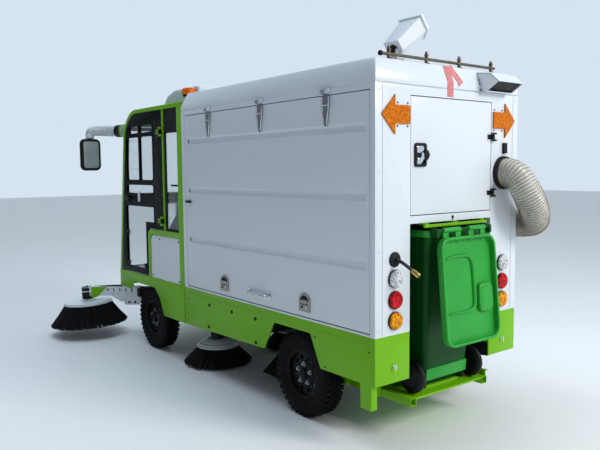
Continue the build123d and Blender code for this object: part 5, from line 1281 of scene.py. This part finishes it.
for turn in (0, 120, 240):
    t = math.radians(turn)
    ray = across * math.cos(t) + upward * math.sin(t)
    sweep(bm, [WHEEL_AT + COLUMN_UP * 0.03 + ray * 0.03, WHEEL_AT + COLUMN_UP * 0.034 + ray * 0.1,
               ring_at + ray * 0.178], [0.014, 0.009, 0.011], 10)
piece("steering_wheel_rim", bm, PLASTIC, "steering_wheel_body", ("steering_wheel",))


def cushion(bm, low, high, face, pleats):
    """A stuffed pad: rounded box with a crown and pleats on one face ('top' or 'front')."""
    made = bmesh.ops.create_cube(bm, size=2.0)["verts"]
    edges = list({e for v in made for e in v.link_edges})
    bmesh.ops.subdivide_edges(bm, edges=edges, cuts=17, use_grid_fill=True)
    centre = (Vector(low) + Vector(high)) / 2
    half = (Vector(high) - Vector(low)) / 2
    main, a, b = (2, 0, 1) if face == "top" else (0, 2, 1)
    for vert in bm.verts:
        q = vert.co / sum(abs(c) ** 7 for c in vert.co) ** (1 / 7)
        if q[main] > 0.55:
            crown = (1 - q[a] ** 4) * (1 - q[b] ** 4)
            groove = sum(math.exp(-((q[b] - c) / 0.028) ** 2) for c in pleats) * (1 - q[a] ** 8)
            q[main] -= 0.22 * (1 - crown) * (0.05 / half[main]) + groove * 0.012 / half[main]
        vert.co = Vector(tuple(centre[k] + half[k] * q[k] for k in range(3)))


PLEATS = (-0.62, -0.32, 0.0, 0.32, 0.62)
bm = bmesh.new()
cushion(bm, (2.595, -0.23, 0.96), (2.96, 0.23, 1.07), "top", PLEATS)
seat_a = piece("seat_cushion_pad", bm, CLOTH, "chassis", ("seat_cushions",), angle=70)
bm = bmesh.new()
cushion(bm, (2.49, -0.22, 0.99), (2.59, 0.22, 1.68), "front", PLEATS)
seat_b = piece("seat_back_pad", bm, CLOTH, angle=70)

# Wheels: tyres with tread blocks, pressed rims with hand holes and nuts
TYRE_SECTION = ((-0.0585, 0.1605), (-0.064, 0.18), (-0.066, 0.186), (-0.069, 0.205), (-0.0715, 0.214),
                (-0.0725, 0.226), (-0.0705, 0.243), (-0.0715, 0.248), (-0.066, 0.262), (-0.058, 0.272),
                (-0.048, 0.2815), (-0.03, 0.284), (-0.005, 0.284), (-0.003, 0.28), (0.003, 0.28),
                (0.005, 0.284))


# Rows of tread blocks: from and to across the tyre, inner and outer radius, width round it
TREAD_ROWS = ((-0.063, -0.036, 0.262, 0.289, 0.026), (-0.031, -0.008, 0.28, 0.2898, 0.028),
              (0.008, 0.031, 0.28, 0.2898, 0.028), (0.036, 0.063, 0.262, 0.289, 0.026))
TREAD_BLOCKS = 40


def wheel(corner):
    tyre = "tyre_" + corner
    centre = Vector((midway(tyre, X, REAR), midway(tyre, Y), midway(tyre, Z)))
    out = Vector(LEFT if corner.endswith("left") else RIGHT)
    bm = bmesh.new()
    section = list(TYRE_SECTION) + [(-a, r) for a, r in reversed(TYRE_SECTION[:12])]
    lathe(bm, centre, out, section, 72)
    for k in range(TREAD_BLOCKS):
        for row, (y0, y1, r0, r1, wide) in enumerate(TREAD_ROWS):
            t = 2 * math.pi * (k + (0.5 if row % 2 else 0.0)) / TREAD_BLOCKS
            mid = (r0 + r1) / 2
            cx, cz = centre.x + mid * math.cos(t), centre.z + mid * math.sin(t)
            box(bm, cx - (r1 - r0) / 2, cx + (r1 - r0) / 2, centre.y + y0, centre.y + y1, cz - wide / 2,
                cz + wide / 2, Matrix.Rotation(-t, 4, "Y"))
    body = "wheel_" + corner
    piece("tyre_tread_" + corner, bm, TYRE, body, (tyre,))
    bm, nuts = meshes(2)
    lathe(bm, centre, out, ((-0.0585, 0.149), (-0.0585, 0.16), (-0.05, 0.16), (-0.044, 0.152), (0.044, 0.152),
                            (0.05, 0.158), (0.0585, 0.16), (0.06, 0.155), (0.0575, 0.151), (0.046, 0.147),
                            (0.036, 0.147), (-0.044, 0.1485)), 64)
    holes = [ring(0.112 * math.cos(t), 0.112 * math.sin(t), 0.0165, 14) for t in circle(10)]
    plate(bm, [ring(0, 0, 0.1485, 56)] + holes, centre + out * 0.026, FORE, UP, 0.009, 0.002)
    lathe(bm, centre, out, ((0.026, 0.092), (0.036, 0.086), (0.04, 0.06), (0.042, 0.046), (0.046, 0.044),
                            (0.046, 0.036), (0.058, 0.034), (0.061, 0.028), (0.062, 0.0)), 40)
    lathe(bm, centre, out, ((-0.006, 0.0225), (-0.006, 0.046), (0.024, 0.046)), 30)
    for k in range(5):
        t = 2 * math.pi * (k + 0.25) / 5
        screw(nuts, centre + out * 0.037 + Vector((0.066 * math.cos(t), 0, 0.066 * math.sin(t))), out, 0.0105,
              0.014)
    sweep(bm, [centre + out * 0.03 + Vector((0, 0, 0.138)), centre + out * 0.046 + Vector((0, 0, 0.132))],
          0.004, 8)
    piece("rim_dish_" + corner, bm, RIM, body, ("rim_" + corner,))
    piece("wheel_nuts_" + corner, nuts, STRAP_METAL, body)


for corner in ("front_left", "front_right", "rear_left", "rear_right"):
    wheel(corner)


# Brushes: discs or domes with tufts of bristle, and the arms with their motors
def tufts(bm, place, rows, low, top, spread, count, seed):
    """Tufts flaring from a disc: rows gives the radius at the top, and spread is added at the tips."""
    dice = random.Random(seed)
    for row, r in enumerate(rows):
        for k in range(count):
            t = 2 * math.pi * (k + 0.5 * (row % 2) + 0.25 * dice.uniform(-1, 1)) / count
            lean = 0.05 * dice.uniform(-1, 1)
            reach = spread * dice.uniform(0.93, 0.99)
            tip = low + (top - low) * dice.uniform(0.0, 0.04)
            points = []
            for part, share in ((0.0, 0.0), (0.5, 0.46), (1.0, 1.0)):
                a = t + lean * part
                points.append(place @ Vector(((r + reach * share) * math.cos(a),
                                              (r + reach * share) * math.sin(a), top + (tip - top) * part)))
            sweep(bm, points, [0.0045, 0.0055, 0.0065], 6)


ARM_AHEAD, ARM_OUT = 0.355, 0.43  # from an arm's pivot to its brush
PIVOT_X, PIVOT_Y, PIVOT_Z = 3.595, 0.48, 0.44
BRUSH_X, BRUSH_Y, BRUSH_Z = 3.95, 0.91, 0.33
BRUSH_TILT = math.radians(3.0)
MID_BRUSH_X, MID_BRUSH_Y = 2.2, 0.42


def brush_axes(way):
    """Where an arm points, its brush's axis and middle, and the brush's own frame."""
    aim = Vector((ARM_AHEAD, way * ARM_OUT, 0)).normalized()
    lean = math.sin(BRUSH_TILT)
    up = Vector((lean * aim.x, lean * aim.y, math.cos(BRUSH_TILT)))
    u = Vector((aim.y, -aim.x, 0)).normalized()
    middle = Vector((BRUSH_X, way * BRUSH_Y, BRUSH_Z))
    place = Matrix.Translation(middle) @ Matrix((u, up.cross(u), up)).transposed().to_4x4()
    return aim, up, middle, place


def screws_round(bm, place, up, r, height, start, size):
    """Four screws on a circle about a brush's axis."""
    for k in range(4):
        t = math.pi * k / 2 + start
        screw(bm, place @ Vector((r * math.cos(t), r * math.sin(t), height)), up, size, 0.006)


def front_brush(way, hand):
    _, up, middle, place = brush_axes(way)
    bm = bmesh.new()
    lathe(bm, middle, up, ((-0.015, 0.0145), (-0.015, 0.236), (-0.011, 0.24), (0.004, 0.24), (0.01, 0.236),
                           (0.013, 0.222), (0.015, 0.15), (0.013, 0.12), (0.013, 0.09), (0.015, 0.08),
                           (0.015, 0.0145)), 56)
    screws_round(bm, place, up, 0.066, 0.015, 0.4, 0.008)
    piece("front_brush_disc_" + hand, bm, SHELL, "brush_front_" + hand, ("front_brush_" + hand,))
    bm = bmesh.new()
    tufts(bm, place, (0.226, 0.204, 0.182), -0.219, -0.014, 0.15, 150, 5)
    lathe(bm, middle, up, ((-0.014, 0.17), (-0.1, 0.226), (-0.205, 0.306), (-0.205, 0.3), (-0.1, 0.22),
                           (-0.014, 0.164)), 72)
    piece("front_brush_tufts_" + hand, bm, BRISTLE, "brush_front_" + hand, recalc=False)


def brush_arm(way, hand):
    aim, up, middle, place = brush_axes(way)
    softened("front_arm_" + hand, ZINC, 0.0012)
    pivot = Vector((PIVOT_X, way * PIVOT_Y, PIVOT_Z))
    arm_long = math.hypot(ARM_AHEAD, ARM_OUT)
    normal = aim.cross(Vector(UP))
    bm, lime = meshes(2)
    lathe(bm, middle, up, ((0.0275, 0.044), (0.03, 0.0535), (0.04, 0.0545), (0.1, 0.0545), (0.104, 0.051),
                           (0.112, 0.051), (0.116, 0.0545), (0.144, 0.0545), (0.151, 0.048), (0.154, 0.03),
                           (0.154, 0.0)), 36)
    screws_round(bm, place, up, 0.036, 0.152, 0.3, 0.006)
    sweep(bm, smooth_path([middle + up * 0.13 - aim * 0.052, middle + up * 0.15 - aim * 0.11,
                           pivot + aim * 0.3 + Vector((0, 0, 0.055)),
                           pivot + aim * 0.08 + Vector((0, 0, 0.052))], 3, 12), 0.008, 10)
    piece("brush_motor_" + hand, bm, PLASTIC, "arm_" + hand)
    # A dark plate inside the arm's channel: painted shade, so that the holes and slots look dark
    hole_shade_plate = bmesh.new()
    plate(hole_shade_plate, [[(0.06, 0.036), (arm_long - 0.085, 0.036), (arm_long - 0.085, -0.036),
                   (arm_long - 0.262, -0.036), (0.148, -0.13), (0.06, -0.13)]], pivot, aim, UP, 0.006, 0.001)
    piece("arm_hole_shade_plate_" + hand, hole_shade_plate, DARK, "arm_" + hand)
    for off in (-0.03, 0.03):
        plate(lime, [[(arm_long - 0.21, 0.046), (arm_long - 0.054, 0.046), (arm_long - 0.054, 0.006),
                      (arm_long - 0.04, -0.05), (arm_long - 0.08, -0.066), (arm_long - 0.12, -0.05)]],
              pivot + normal * off * 1.45, aim, UP, 0.005, 0.001)
    piece("arm_gusset_" + hand, lime, LIME, "arm_" + hand)


def mid_brush(way, hand):
    foot = Vector((MID_BRUSH_X, way * MID_BRUSH_Y, 0))
    bm = bmesh.new()
    lathe(bm, foot, UP, ((0.15, 0.02), (0.15, 0.178), (0.153, 0.181), (0.158, 0.18), (0.164, 0.17),
                         (0.172, 0.16), (0.176, 0.16), (0.179, 0.154), (0.188, 0.132), (0.192, 0.131),
                         (0.195, 0.125), (0.209, 0.098), (0.214, 0.09), (0.215, 0.07), (0.213, 0.04),
                         (0.213, 0.0145)), 56)
    piece("mid_brush_dome_" + hand, bm, SHELL, "brush_mid_" + hand, ("mid_brush_" + hand,))
    bm = bmesh.new()
    tufts(bm, Matrix.Translation(foot), (0.164, 0.142, 0.12), 0.015, 0.151, 0.128, 120, 9)
    lathe(bm, foot, UP, ((0.152, 0.108), (0.09, 0.152), (0.022, 0.222), (0.022, 0.216), (0.09, 0.146),
                         (0.152, 0.102)), 64)
    piece("mid_brush_tufts_" + hand, bm, BRISTLE, "brush_mid_" + hand, recalc=False)


for way, hand in ((1, "left"), (-1, "right")):
    front_brush(way, hand)
    brush_arm(way, hand)
    mid_brush(way, hand)

# CAD nodes that stay
coat(DARK, "front_axle", "rear_axle", "knuckle_left", "knuckle_right", "body_floor", "suction_mouth",
     "mid_brush_mounts")
coat(GLASS, "cab_glass", "door_glass_left", "door_glass_right")

low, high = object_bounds()
